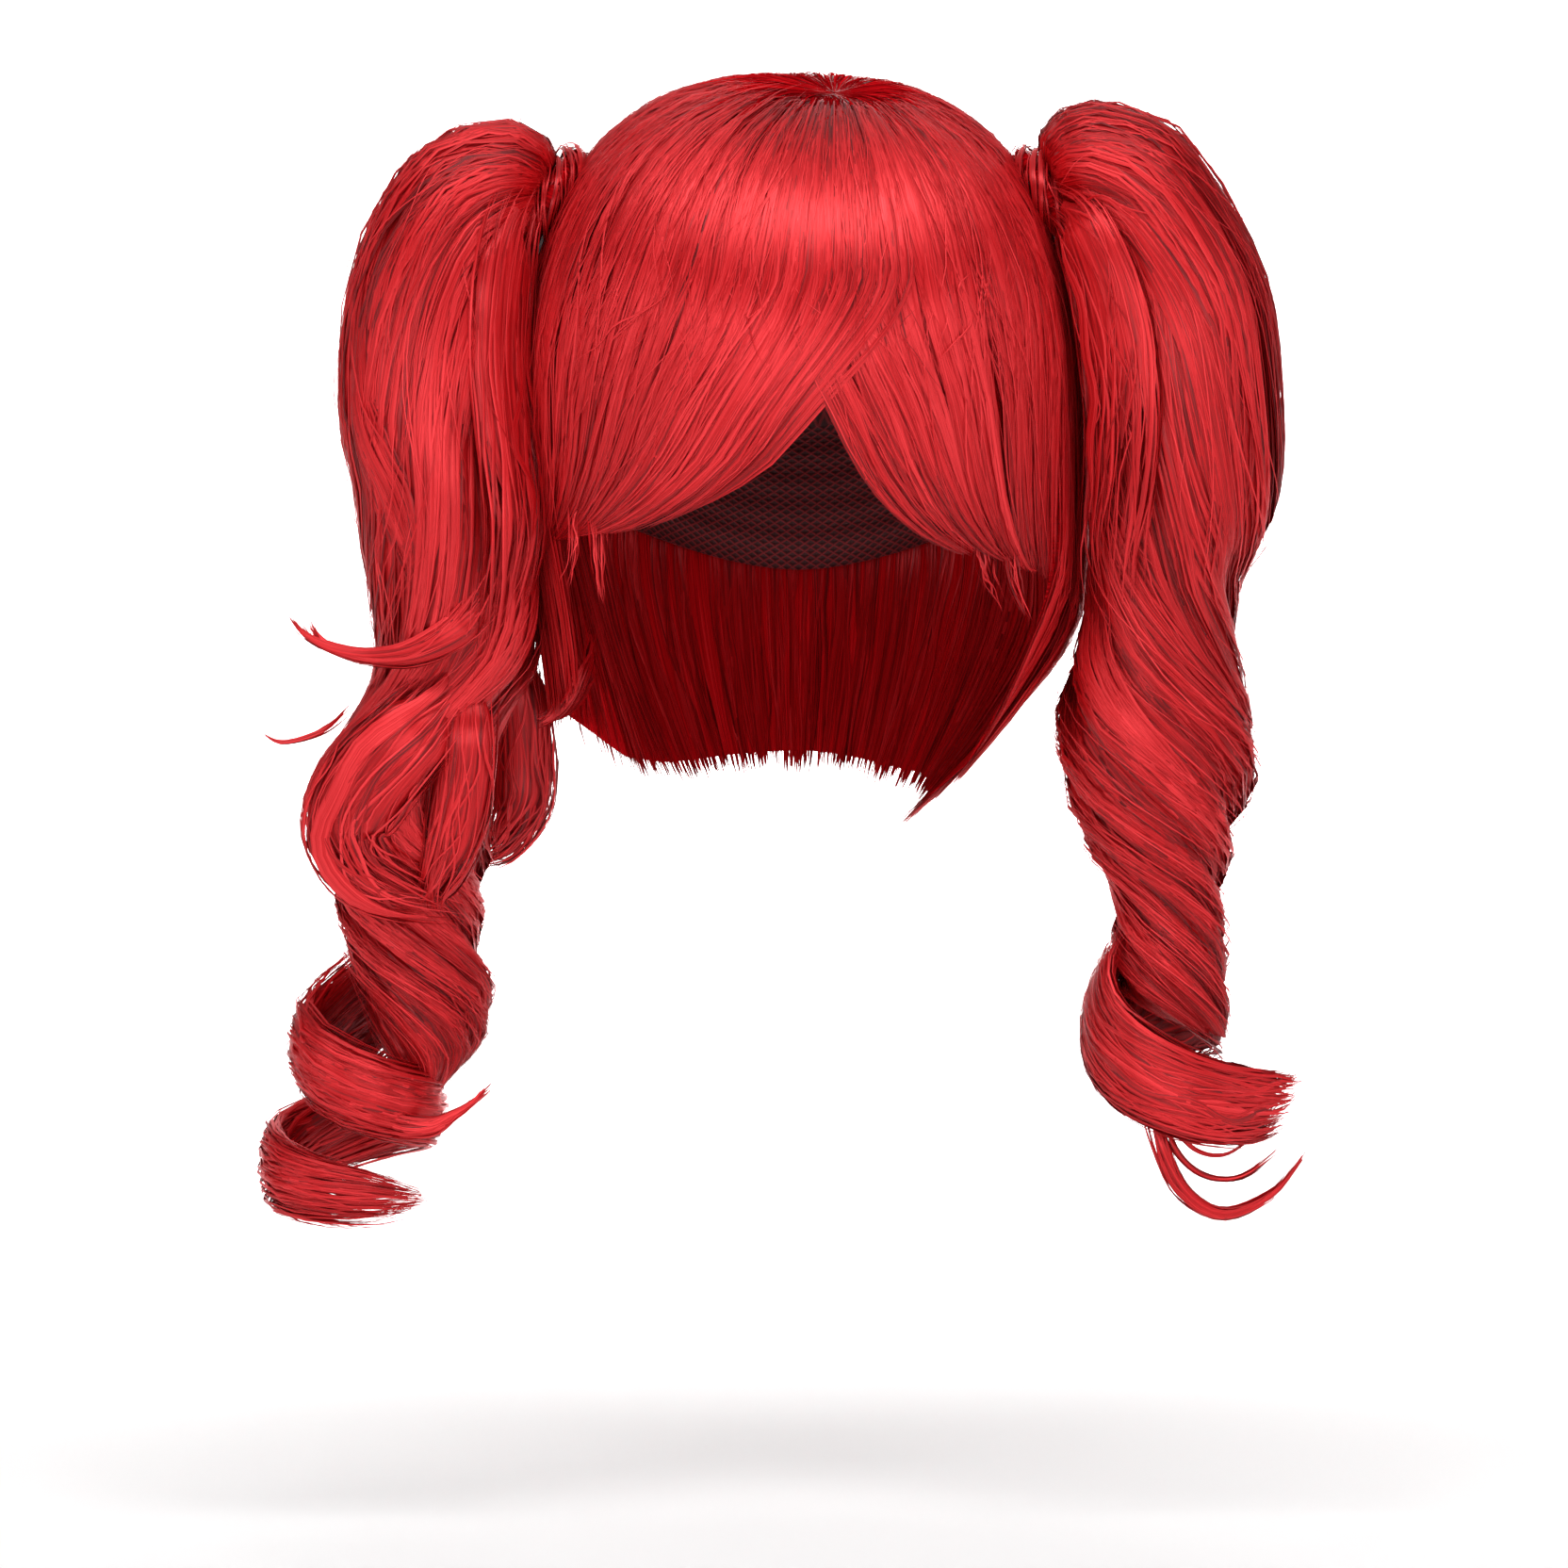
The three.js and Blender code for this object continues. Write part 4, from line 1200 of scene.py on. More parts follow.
def wall_piece(name, outer, inner, closed, flow_size, tint, material):
    """The closed wall between two sheets of points, each by row and column. A closed sheet's last
    column meets its first. The flow map counts millimetres across and along the outer sheet."""
    rows, across = outer.shape[:2]
    spans = across if closed else across - 1
    at = np.arange(2 * rows * across).reshape(2, rows, across)
    near, far = at[:, :, :spans], np.roll(at, -1, axis=2)[:, :, :spans]
    flow = sheet_map(spans, rows - 1)
    turned = [0, 3, 2, 1]
    quads = [
        sheet_quads(near[0], far[0]),
        sheet_quads(near[1], far[1])[:, turned],
        np.stack([near[0, -1], near[1, -1], far[1, -1], far[0, -1]], axis=-1),
        np.stack([near[0, 0], far[0, 0], far[1, 0], near[1, 0]], axis=-1),
    ]
    flows = [flow, flow[:, turned], flow[-spans:], flow[:spans]]
    if not closed:
        for column, order in ((0, [0, 1, 2, 3]), (across - 1, [3, 2, 1, 0])):
            edge = at[:, :, column]
            rim = np.stack([edge[0, :-1], edge[1, :-1], edge[1, 1:], edge[0, 1:]], axis=-1)
            quads.append(rim[:, order])
            flows.append(flow[: rows - 1])
    points = np.concatenate([outer.reshape(-1, 3), inner.reshape(-1, 3)])
    flow = np.concatenate(flows) * flow_size
    return sheet_piece(name, points, np.concatenate(quads), flow, tint, material)


def rings_piece(name, rings, flow_size, tint, material):
    """A closed tube through rings of points, drawn to a point at both ends."""
    ends = [np.broadcast_to(rings[i].mean(axis=0), rings[i].shape)[None] for i in (0, -1)]
    sheet = np.concatenate([ends[0], rings, ends[1]])
    rows, sides = sheet.shape[:2]
    at = np.arange(rows * sides).reshape(rows, sides)
    quads = sheet_quads(at, np.roll(at, -1, axis=1))
    flow = sheet_map(sides, rows - 1) * flow_size
    return sheet_piece(name, sheet.reshape(-1, 3), quads, flow, tint, material)


def place(piece, slot, *nodes):
    """Fixes a piece to the wig and hides the solids it stands for. Its slot is not used."""
    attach(piece, "root")
    if nodes:
        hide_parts(*nodes)


# Materials


class Nodes:
    """A new material's nodes, added and linked in short lines."""

    def __init__(self, name):
        self.material = bpy.data.materials.new(name)
        self.material.use_nodes = True
        self.tree = self.material.node_tree
        self.shader = self.tree.nodes["Principled BSDF"]

    def add(self, kind, **values):
        """A new node with some of its settings."""
        node = self.tree.nodes.new(kind)
        for key, value in values.items():
            setattr(node, key, value)
        return node

    def link(self, source, target):
        """Joins an output to an input."""
        self.tree.links.new(source, target)

    def feed(self, name, source):
        """Joins an output to one of the finish's inputs."""
        self.link(source, self.shader.inputs[name])

    def noise(self, vector, scale, detail, dimensions="3D"):
        """Random grain over a map or a place."""
        node = self.add("ShaderNodeTexNoise", noise_dimensions=dimensions)
        node.inputs["Scale"].default_value = scale
        node.inputs["Detail"].default_value = detail
        self.link(vector, node.inputs["Vector"])
        return node.outputs["Fac"]

    def math(self, operation, *values):
        """A sum of numbers and outputs."""
        node = self.add("ShaderNodeMath", operation=operation)
        for value, socket in zip(values, node.inputs):
            if isinstance(value, (int, float)):
                socket.default_value = value
            else:
                self.link(value, socket)
        return node.outputs[0]

    def colours(self, value, stops):
        """A base colour that follows a value."""
        node = self.add("ShaderNodeValToRGB")
        elements = node.color_ramp.elements
        for index, (position, colour) in enumerate(stops):
            element = elements[index] if index < 2 else elements.new(position)
            element.position = position
            element.color = (*colour, 1)
        self.link(value, node.inputs["Fac"])
        self.feed("Base Color", node.outputs["Color"])

    def bump(self, height, strength, distance):
        """Relief that follows a height, its distance in mm."""
        node = self.add("ShaderNodeBump")
        node.inputs["Strength"].default_value = strength
        node.inputs["Distance"].default_value = distance * MM
        self.link(height, node.inputs["Height"])
        self.feed("Normal", node.outputs["Normal"])

    def put(self, **values):
        """Sets the finish's inputs to plain values."""
        for key, value in values.items():
            self.shader.inputs[key.replace("_", " ")].default_value = value


def hair_material(hair, name, packed):
    """Red fibre: the tint attribute, which carries each strand's tone together with painted shade and
    highlight, and fine streaks along the flow map choose its colour. Packed hair, seen between strands,
    is duller."""
    nodes = Nodes(name)
    tint = nodes.add("ShaderNodeAttribute", attribute_name="tint").outputs["Fac"]
    flow = nodes.add("ShaderNodeUVMap", uv_map="flow").outputs["UV"]
    fine = nodes.add("ShaderNodeMapping")
    fine.inputs["Scale"].default_value = (1 / hair.streak_width, 1 / hair.streak_length, 1)
    nodes.link(flow, fine.inputs["Vector"])
    streak = nodes.noise(fine.outputs["Vector"], scale=1.0, detail=3.0, dimensions="2D")
    contrast = hair.streak_contrast
    shade = nodes.math("MULTIPLY_ADD", streak, contrast, -contrast / 2)
    colours = [(0.0, hair.deep_colour), (1.0, hair.bright_colour), (0.5, hair.middle_colour)]
    nodes.colours(nodes.math("ADD", tint, shade), colours)
    rough = (PACKED_ROUGHNESS if packed else hair.roughness) - STREAK_ROUGHNESS / 2
    nodes.feed("Roughness", nodes.math("MULTIPLY_ADD", streak, STREAK_ROUGHNESS, rough))
    nodes.bump(streak, STREAK_BUMP, STREAK_RELIEF)
    tangent = nodes.add("ShaderNodeTangent", direction_type="UV_MAP", uv_map="flow")
    nodes.feed("Tangent", tangent.outputs["Tangent"])
    nodes.put(
        Anisotropic=ANISOTROPY,
        Specular_IOR_Level=PACKED_SHINE if packed else hair.shine,
        Specular_Tint=SHINE_COLOUR,
        Metallic=PACKED_SHEEN if packed else hair.sheen,
    )
    return nodes.material


def net_material():
    """Dark red net: threads cross the flow map on both diagonals. The colour and height at a point
    follow its distance from the nearest thread, in mm."""
    nodes = Nodes("cap_net")
    flow = nodes.add("ShaderNodeSeparateXYZ")
    nodes.link(nodes.add("ShaderNodeUVMap", uv_map="flow").outputs["UV"], flow.inputs["Vector"])
    across, along = flow.outputs["X"], flow.outputs["Y"]
    diagonals = [nodes.math(way, across, along) for way in ("ADD", "SUBTRACT")]
    threads = [nodes.math("PINGPONG", diagonal, NET_CELL / 2) for diagonal in diagonals]
    distance = nodes.math("MINIMUM", *threads)
    nodes.colours(distance, NET_COLOURS)
    nodes.bump(nodes.math("SUBTRACT", NET_CELL / 2, distance), strength=0.5, distance=0.3)
    nodes.put(Roughness=0.7)
    return nodes.material


def clip_material():
    """Dark red moulded plastic with a faint grain and uneven gloss."""
    nodes = Nodes("clip_plastic")
    place_at = nodes.add("ShaderNodeTexCoord").outputs["Object"]
    grain = nodes.noise(place_at, CLIP_GRAIN, detail=3.0)
    nodes.colours(grain, CLIP_COLOURS)
    nodes.feed("Roughness", nodes.math("MULTIPLY_ADD", grain, CLIP_UNEVEN, CLIP_ROUGHNESS))
    nodes.bump(grain, strength=0.2, distance=0.1)
    return nodes.material


def paper_material(colour):
    """Pale matt studio paper with a faint fibre."""
    nodes = Nodes("studio_paper")
    place_at = nodes.add("ShaderNodeTexCoord").outputs["Object"]
    fibre = nodes.noise(place_at, PAPER_GRAIN, detail=4.0)
    nodes.bump(fibre, strength=0.02, distance=0.2)
    nodes.put(Base_Color=(*colour, 1.0), Roughness=0.9, Specular_IOR_Level=0.1)
    return nodes.material


def hair_finish(context, packed=False):
    """The finish of strands, or the duller one of packed hair, each made once."""
    name = "hair_packed" if packed else "hair_fibre"
    return bpy.data.materials.get(name) or hair_material(context.scene.wig_hair, name, packed)


# Strands


class Batch:
    """Random values for strands of one kind: a column with one row for each strand, or an array by
    strand and station. Strands of a clump share what is drawn for it."""

    def __init__(self, rng, count, stations, hair):
        self.rng = rng
        self.count = count
        self.stations = stations
        self.hair = hair
        self.along = np.linspace(0, 1, stations)

    def uniform(self, low=0.0, high=1.0):
        """Even between two limits."""
        return self.rng.uniform(low, high, (self.count, 1))

    def normal(self, size):
        """Spread round 0 by a size."""
        return self.rng.normal(0, size, (self.count, 1))

    def drift(self, size, waves=1.0):
        """Smooth drift along each strand."""
        return drift(self.rng, self.count, self.stations, size, waves)

    def steps(self):
        """Shares from 0 to 1 for each strand, with the inner ones all moved by its own shift."""
        shift = self.uniform(-STEP_SHIFT, STEP_SHIFT) / (self.stations - 1)
        return self.along + shift * np.minimum(1, SHIFT_ONSET * self.along * (1 - self.along))

    def gather(self, lane, middles, pull):
        """Joins each strand to the clump of the nearest middle, and pulls its lane there."""
        self.clumps = len(middles)
        self.clump = np.abs(lane - middles).argmin(axis=1)
        return mix(lane, self.clump_own(middles), pull)

    def scatter(self, clumps):
        """Joins each strand to a clump at random."""
        self.clumps = clumps
        self.clump = self.rng.integers(0, clumps, self.count)

    def clump_own(self, values):
        """The values of the strands' clumps."""
        return values[self.clump][:, None]

    def clump_normal(self, size):
        """Spread round 0 by a size, for each clump."""
        return self.clump_own(self.rng.normal(0, size, self.clumps))

    def clump_drift(self, size):
        """Smooth drift along each clump."""
        return drift(self.rng, self.clumps, self.stations, size)[self.clump]

    def widths(self, root, tip):
        """Half widths: a rounded rise over the root share, a full middle and a long fine tip."""
        own = self.rng.lognormal(0, self.hair.strand_variety, (self.count, 1))
        rise = mix(ROOT_WIDTH, 1, smooth(self.along, 0, root))
        fall = mix(1, TIP_WIDTH, smooth(self.along, tip, 1))
        return self.hair.strand_width / 2 / MM * own * (rise * fall)

    def tints(self, tone, variety=FIBRE_VARIETY):
        """The middle tint and a tone, each strand's own, and a slow change along it."""
        return MIDDLE_TINT + tone + self.normal(variety) + self.drift(TINT_DRIFT)


def roots_and_layers(batch):
    """Where strands start and how high they lie. Hair that starts near the whorl lies on top."""
    near = batch.uniform(FIRST_ROOTS, TOP_ROOTS)
    far = batch.uniform(TOP_ROOTS, LAST_ROOTS)
    start = np.where(batch.uniform() < TOP_SHARE, near, far)
    layer = np.clip(1 - start * LAYER_FALL + batch.normal(LAYER_SPREAD), 0, 1)
    return start, layer


def gathered(batch, manner, lane, middles, share):
    """Lanes of strands that are drawn to the middles of clumps and drift with them and alone."""
    pull = manner.pull * batch.hair.clumping * smooth(share, manner.pull_from, 1.0)
    lane = batch.gather(lane, np.sort(middles), pull)
    return lane + batch.drift(manner.strand_drift) + batch.clump_drift(manner.clump_drift) * share


def lifted(batch, manner, share, start, layer):
    """Offset from the dome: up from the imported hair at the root, level, then thin at the tips, with
    a lift for each clump and a drift for each strand."""
    level = mix(STRAND_LOW, STRAND_HIGH, layer)
    tip = mix(TIP_LOW, TIP_HIGH, layer)
    rise = smooth(share, start, start + ROOT_RISE)
    root = np.where(start < TOP_ROOTS, packed_offset(share) + ROOT_STAND, ROOT_LOW)
    offset = mix(mix(root, level, rise), tip, smooth(share, manner.thin, TIP_END))
    lift = batch.clump_normal(CLUMP_LIFT) * smooth(share, *CLUMPS_LIFT)
    return offset + lift + batch.drift(STRAND_LIFT)


def fringe_strands(batch, rows):
    """One half of the fringe: strands from near the whorl, drawn into pointed clumps at the tips."""
    start, layer = roots_and_layers(batch)
    share = mix(start * FRINGE_TOP, 1, batch.steps() ** FRINGE.crowding)
    across = batch.uniform()
    middles = batch.rng.random(batch.hair.fringe_clumps)
    lane = gathered(batch, FRINGE, across, middles, share)
    lane = lane + batch.normal(FRINGE_STRAY) * smooth(share, *FRINGE_STRAYS)
    lane = 1 - np.abs(1 - np.abs(lane))
    fan = FRINGE_FAN * rows["over"].max() * batch.normal(1) * (1 - smooth(across, 0, FAN_ACROSS))
    length = (1 + batch.clump_normal(FRINGE.clump_length)) * batch.uniform(*FRINGE_LENGTHS)
    offset = lifted(batch, FRINGE, share, start * FRINGE_TOP, layer)
    over = between(rows, np.clip(lane, 0, 1))["over"]
    over = over * smooth(share, *OVER_RISES) * (1 - smooth(share, *OVER_FALLS))
    path = fringe_point(rows, lane, share, offset + over, length, fan)
    tint = batch.tints(batch.clump_normal(FRINGE.tint))
    # Painted shade: darker roots and a darker fan in front of the whorl, darker lower and paler top
    # layers, and darker tips
    front = bell(between(rows, lane)["top"], FAN_SPREAD)
    tint = tint - (FRINGE_ROOT_SHADE + FAN_SHADE * front) * (1 - smooth(share, *FRINGE_ROOTS))
    # A painted highlight band: paler and darker waves along the strands
    band = np.cos(FULL_TURN * (share + batch.normal(BAND_SPREAD) - BAND_PLACE) / BAND_WAVE)
    tint = tint + LAYER_SHADE * (layer - MIDDLE_LAYER)
    tint = tint + PAINTED_HIGHLIGHT_BAND * band * smooth(share, BAND_START, BAND_PLACE)
    tint = tint - TIP_SHADE * smooth(share, *FRINGE_TIPS)
    return Strands(path, outward_of(path), batch.widths(root=0.25, tip=0.78), tint)


def bob_strands(batch, low, high, clumps):
    """Straight hair between two azimuths: strands drawn into pointed clumps at the tips."""
    rng, count = batch.rng, batch.count
    start, layer = roots_and_layers(batch)
    share = mix(start * BOB_BROW, 1, batch.steps() ** BOB.crowding)
    azimuth = mix(low, high, (rng.permutation(count) + rng.random(count)) / count)[:, None]
    lane = gathered(batch, BOB, azimuth, rng.uniform(low, high, clumps), share)
    length = 1 + batch.clump_normal(BOB.clump_length)
    length = length * (BOB_LONGEST - BOB_SHORTER * batch.uniform() ** 2)
    offset = lifted(batch, BOB, share, start * BOB_BROW, layer)
    beside_tail = bell(np.abs(lane) - PUFF_AZIMUTH, PUFF_SPREAD)
    puff = PUFF * beside_tail * smooth(share, *PUFF_RISES) * (1 - smooth(share, *PUFF_FALLS))
    path = bob_point(lane, share, offset + puff, length)
    tint = batch.tints(batch.clump_normal(BOB.tint))
    # Painted shade: darker roots, and darker lower and paler top layers
    tint = tint - ROOT_SHADE * (1 - smooth(share, *BOB_ROOTS))
    tint = tint + LAYER_SHADE * (layer - MIDDLE_LAYER)
    return Strands(path, outward_of(path), batch.widths(root=0.25, tip=0.92), tint)


def whorl_strands(batch):
    """Short fine strands that leave the whorl all round and lie over the roots of the rest."""
    share = mix(batch.uniform(*WHORL_STARTS), batch.uniform(*WHORL_ENDS), batch.along)
    lane = batch.uniform(-180, 180) + batch.drift(WHORL_DRIFT)
    low, high = packed_offset(0) + WHORL_STAND, STRAND_HIGH - WHORL_BELOW
    offset = mix(low, high, smooth(share, 0, DIMPLE_REACH)) + batch.uniform(*WHORL_UNEVEN)
    path = bob_point(lane, share * BOB_BROW, offset)
    # Painted shade: dark roots that brighten along the strand, darker still in a fan in front of the
    # whorl
    tint = batch.tints(-ROOT_SHADE, variety=WHORL_VARIETY) - FAN_SHADE * bell(lane, FAN_SPREAD)
    tint = tint + ROOT_SHADE * smooth(share, *WHORL_ROOTS)
    return Strands(path, outward_of(path), WHORL_FINENESS * batch.widths(root=0.6, tip=0.6), tint)


def inside_strands(batch, low, high):
    """The inner face of straight hair: strands that hang from the cap's edge to the tips."""
    share = mix(batch.uniform(*INSIDE_STARTS), 1, batch.along)
    lane = batch.uniform(low, high) + batch.drift(INSIDE_DRIFT)
    depth = HAIR_INSIDE - INSIDE_DEPTH - batch.uniform(0, INSIDE_SPREAD)
    offset = depth + batch.drift(INSIDE_LIFT)
    path = bob_point(lane, share, offset, batch.uniform(*INSIDE_LENGTHS))
    # Painted shade: the inner strands are darker than the outer hair
    tint = batch.tints(INSIDE_PAINTED_SHADE, variety=INSIDE_VARIETY)
    return Strands(path, -outward_of(path), batch.widths(root=0.1, tip=0.86), tint)


def tail_strands(batch, rows, side):
    """A ponytail's bundle: clumps that each keep an angle and a depth, and wind with the tail."""
    rng, clumps = batch.rng, batch.hair.tail_clumps
    angle = FULL_TURN * (np.arange(clumps) + rng.random(clumps)) / clumps
    depth = CLUMP_RADIUS - CLUMP_DEPTH * rng.random(clumps) ** CLUMP_CROWDING
    batch.scatter(clumps)
    ends = np.clip(rng.normal(TAIL_LAST, CLUMP_ENDS, clumps), TAIL_LAST - CLUMP_LACK, 1)
    end = batch.clump_own(ends) * batch.uniform(*TAIL_LENGTHS)
    share = mix(batch.uniform(*TAIL_STARTS), end, batch.steps())
    spread = batch.normal(TAIL_SPREAD) * mix(1, TAIL_NARROW, smooth(share, TAIL_NARROWS, 1))
    own = batch.clump_own(angle) + spread
    own = own + batch.clump_drift(CLUMP_DRIFT) + batch.drift(TAIL_DRIFT)
    scale = batch.clump_own(depth) - np.abs(batch.normal(TAIL_DEPTH))
    scale = scale - TAIL_ROUNDING * (spread / TAIL_ROUNDED) ** 2
    scale = scale + batch.clump_drift(CLUMP_SWELL) + batch.drift(TAIL_SWELL)
    radius = scale * tail_lobe(own, share)
    path, middle = tail_point(rows, side, own, share, radius)
    tint = batch.tints(batch.clump_normal(TAIL_TINT))
    # Painted shade: strands deeper in the bundle and in its grooves are darker, the outermost a little
    # paler
    tint = tint + np.clip(GROOVE_SHADE * (radius - GROOVE_LEVEL), *GROOVE_LIMITS)
    return Strands(path, unit(path - middle), batch.widths(root=0.06, tip=0.82), tint)


def overlay_strands(batch, rows, side):
    """Flat locks that lie over a ponytail's bundle, cross its run at a slant and sink at both ends.
    A lock's rise over the bundle is a sine along it and a parabola across it."""
    rng, locks = batch.rng, batch.hair.overlay_locks
    of_locks = (
        rng.uniform(*OVERLAY_FROM, locks),
        rng.uniform(*OVERLAY_LENGTHS, locks),
        rng.normal(0, OVERLAY_SLANT, locks),
        rng.uniform(*OVERLAY_HALF, locks),
        FULL_TURN * (np.arange(locks) + rng.uniform(-OVERLAY_STAGGER, OVERLAY_STAGGER, locks)) / locks,
        rng.normal(*OVERLAY_TINT, locks),
    )
    batch.scatter(locks)
    start, length, slant, half, angle, tone = map(batch.clump_own, of_locks)
    across = batch.uniform(-1, 1)
    along = mix(batch.uniform(*OVERLAY_STARTS), batch.uniform(*OVERLAY_ENDS), batch.steps())
    share = start + length * along
    body = np.sin(math.pi * along)
    own = angle + slant * along + half * across * mix(OVERLAY_NARROW, 1, body)
    own = own + batch.drift(OVERLAY_DRIFT)
    rise = OVERLAY_RISE * body**OVERLAY_FULLNESS * (1 - OVERLAY_ROUNDING * across**2)
    radius = OVERLAY_LOW + rise - np.abs(batch.normal(OVERLAY_DEPTH))
    radius = radius * mix(1, tail_lobe(own, share), OVERLAY_HUG)
    path, middle = tail_point(rows, side, own, share, radius)
    # Painted shade: a flat lock's strands are darker towards its edges, where it sinks into the bundle
    tint = batch.tints(tone) - EDGE_SHADE * across**2
    return Strands(path, unit(path - middle), OVERLAY_FINENESS * batch.widths(root=0.2, tip=0.7), tint)


def collar_strands(batch, side):
    """The wrap round a ponytail's root: strands wound along an oval ring that stands on the crown,
    each at its own place of the ring's round section, which turns slowly as it goes."""
    middle, slope, front, stand = collar_ways(side)
    ring = batch.uniform(0, FULL_TURN) + batch.uniform(*COLLAR_WIND) * batch.along
    section = batch.uniform(0, FULL_TURN) + COLLAR_TURN * ring + batch.drift(COLLAR_DRIFT)
    radius = COLLAR_THICK * batch.uniform(*COLLAR_PLACES) + batch.drift(COLLAR_SWELL)
    ways = slope * np.cos(ring)[..., None], front * np.sin(ring)[..., None]
    out = unit(ways[0] / COLLAR_HALF[0] + ways[1] / COLLAR_HALF[1])
    centre = middle + ways[0] * COLLAR_HALF[0] + ways[1] * COLLAR_HALF[1]
    outward = out * np.cos(section)[..., None] + stand * np.sin(section)[..., None]
    path = centre + outward * radius[..., None]
    tint = batch.tints(COLLAR_TINT, variety=COLLAR_VARIETY)
    return Strands(path, outward, COLLAR_FINENESS * batch.widths(root=0.1, tip=0.8), tint)


def collar_core(side):
    """Rings of a flat ellipsoid that fills the wrap."""
    turn, down = grid(0, FULL_TURN, spans=32, steps=12, closed=True)
    height = np.radians(mix(-COLLAR_LAST, COLLAR_LAST, down))
    middle, slope, front, stand = collar_ways(side)
    sizes = COLLAR_HALF[0] + COLLAR_CORE, COLLAR_HALF[1] + COLLAR_CORE
    flat = slope * (sizes[0] * np.cos(turn))[..., None] + front * (sizes[1] * np.sin(turn))[..., None]
    return middle + flat * np.cos(height)[..., None] + stand * (COLLAR_CORE * np.sin(height))[..., None]


def lock_strands(batch, lock, side, fineness=LOCK_FINENESS):
    """A curl or loose lock: strands spread over its lens section, some ending short of its tip."""
    rng = batch.rng
    batch.scatter(LOCK_WISPS)
    end = batch.clump_own(rng.uniform(*LOCK_ENDS, LOCK_WISPS))
    end = end * (1 - lock.ragged * batch.uniform() ** 2)
    turn = batch.uniform(0, FULL_TURN) + batch.drift(LOCK_DRIFT)
    end = end * (1 - lock.slant / 2 * (1 + np.cos(turn[:, -1:])))
    share = mix(batch.uniform(*LOCK_STARTS), end, batch.steps())
    radius = LOCK_RADIUS * batch.uniform() ** LOCK_CROWDING + batch.drift(LOCK_SWELL)
    across, up = radius * np.cos(turn), radius * np.sin(turn)
    path, outward = lock_point(lock_line(lock, side), share, across, up)
    broad = min(1, lock.rows["wide"].max() / STRAY_WIDTH)
    size = LOCK_STRAY * broad * min(1, lock.ragged / STRAY_RAGGED)
    of_wisp = rng.normal(0, 1, (LOCK_WISPS, 1, 3))[batch.clump]
    stray = size * (of_wisp + rng.normal(0, STRAY_APART, (batch.count, 1, 3)))
    path = path + stray * smooth(share, STRAY_FROM, 1)[..., None]
    # Painted light and shade: strands on the side of the lock that faces out are paler, those on its back
    # darker, and the tint of the open curls' backs is painted shade
    tint = batch.tints(lock.tone + batch.clump_normal(LOCK_TINT)) + PAINTED_FACE_LIGHT * (up - FACE_LEVEL)
    return Strands(path, outward, fineness * batch.widths(root=0.25, tip=0.75), tint)


def lock_core(lock, side):
    """Rings inside a lock: a share of its lens section that narrows towards both ends."""
    turn, down = grid(0, FULL_TURN, spans=16, steps=60, closed=True)
    share = mix(CORE_START, CORE_END - lock.ragged / 2, down)
    packed = PACKED_LOCK * mix(CORE_ROOT, 1, smooth(down, 0, CORE_FULL[0]))
    packed = packed * mix(1, CORE_TIP, smooth(down, CORE_FULL[1], 1))
    return lock_point(lock_line(lock, side), share, packed * np.cos(turn), packed * np.sin(turn))[0]


def crown_hairs(batch):
    """Single hairs that leave the crown and sides in slow waves."""
    azimuth = batch.uniform(-180, 180)
    start, end = batch.uniform(*CROWN_HAIR_STARTS), batch.uniform(*CROWN_HAIR_ENDS)
    end = np.where(np.abs(azimuth) < FRONT_HAIRS, np.minimum(end, FRONT_END), end)
    slant = batch.normal(CROWN_HAIR_SLANT) * batch.along
    lane = azimuth + slant + batch.drift(CROWN_HAIR_DRIFT, waves=HAIR_WAVES)
    away = batch.uniform(*CROWN_HAIR_OFF) * batch.along**2
    offset = STRAND_HIGH + CROWN_HAIR_OVER + away + np.abs(batch.drift(CROWN_HAIR_WAVER))
    path = bob_point(lane, mix(start, end, batch.along), offset)
    return hair_lines(batch, path, outward_of(path))


def fringe_hairs(batch, rows):
    """Single hairs over one half of the fringe that cross its sweep at a slant."""
    start, end = batch.uniform(*FRINGE_HAIR_STARTS), batch.uniform(*FRINGE_HAIR_ENDS)
    share = mix(start, end, batch.along)
    lane = batch.uniform() + batch.normal(FRINGE_HAIR_SLANT) * batch.along
    lane = lane + batch.drift(FRINGE_HAIR_DRIFT, waves=HAIR_WAVES)
    level = mix(STRAND_HIGH, TIP_HIGH + FRINGE_HAIR_TIP, smooth(share, FRINGE.thin, TIP_END))
    offset = level + FRINGE_HAIR_OVER + np.abs(batch.drift(FRINGE_HAIR_WAVER))
    path = fringe_point(rows, np.clip(lane, 0, 1), share, offset, FRINGE_HAIR_LENGTH)
    return hair_lines(batch, path, outward_of(path))


def tail_hairs(batch, rows, side):
    """Single hairs over a ponytail: most lie on it and cross its run at a slant, some stand off."""
    along = batch.along
    start = batch.uniform(*TAIL_HAIR_STARTS)
    share = mix(start, np.minimum(1, start + batch.uniform(*TAIL_HAIR_LENGTHS)), along)
    slant = batch.normal(TAIL_HAIR_SLANT) * along
    own = batch.uniform(0, FULL_TURN) + slant + batch.drift(TAIL_HAIR_DRIFT, waves=HAIR_WAVES)
    stands = batch.uniform() < STANDING_SHARE
    off = np.where(stands, batch.uniform(*TAIL_HAIR_OFF) * along**2, 0.0)
    sink = np.where(stands, STANDING_SINK * (1 - along), LYING_SINK * (2 * along - 1) ** 4)
    radius = TAIL_HAIR_LEVEL + off - sink + np.abs(batch.drift(TAIL_HAIR_WAVER))
    path, middle = tail_point(rows, side, own, share, radius)
    return hair_lines(batch, path, unit(path - middle))


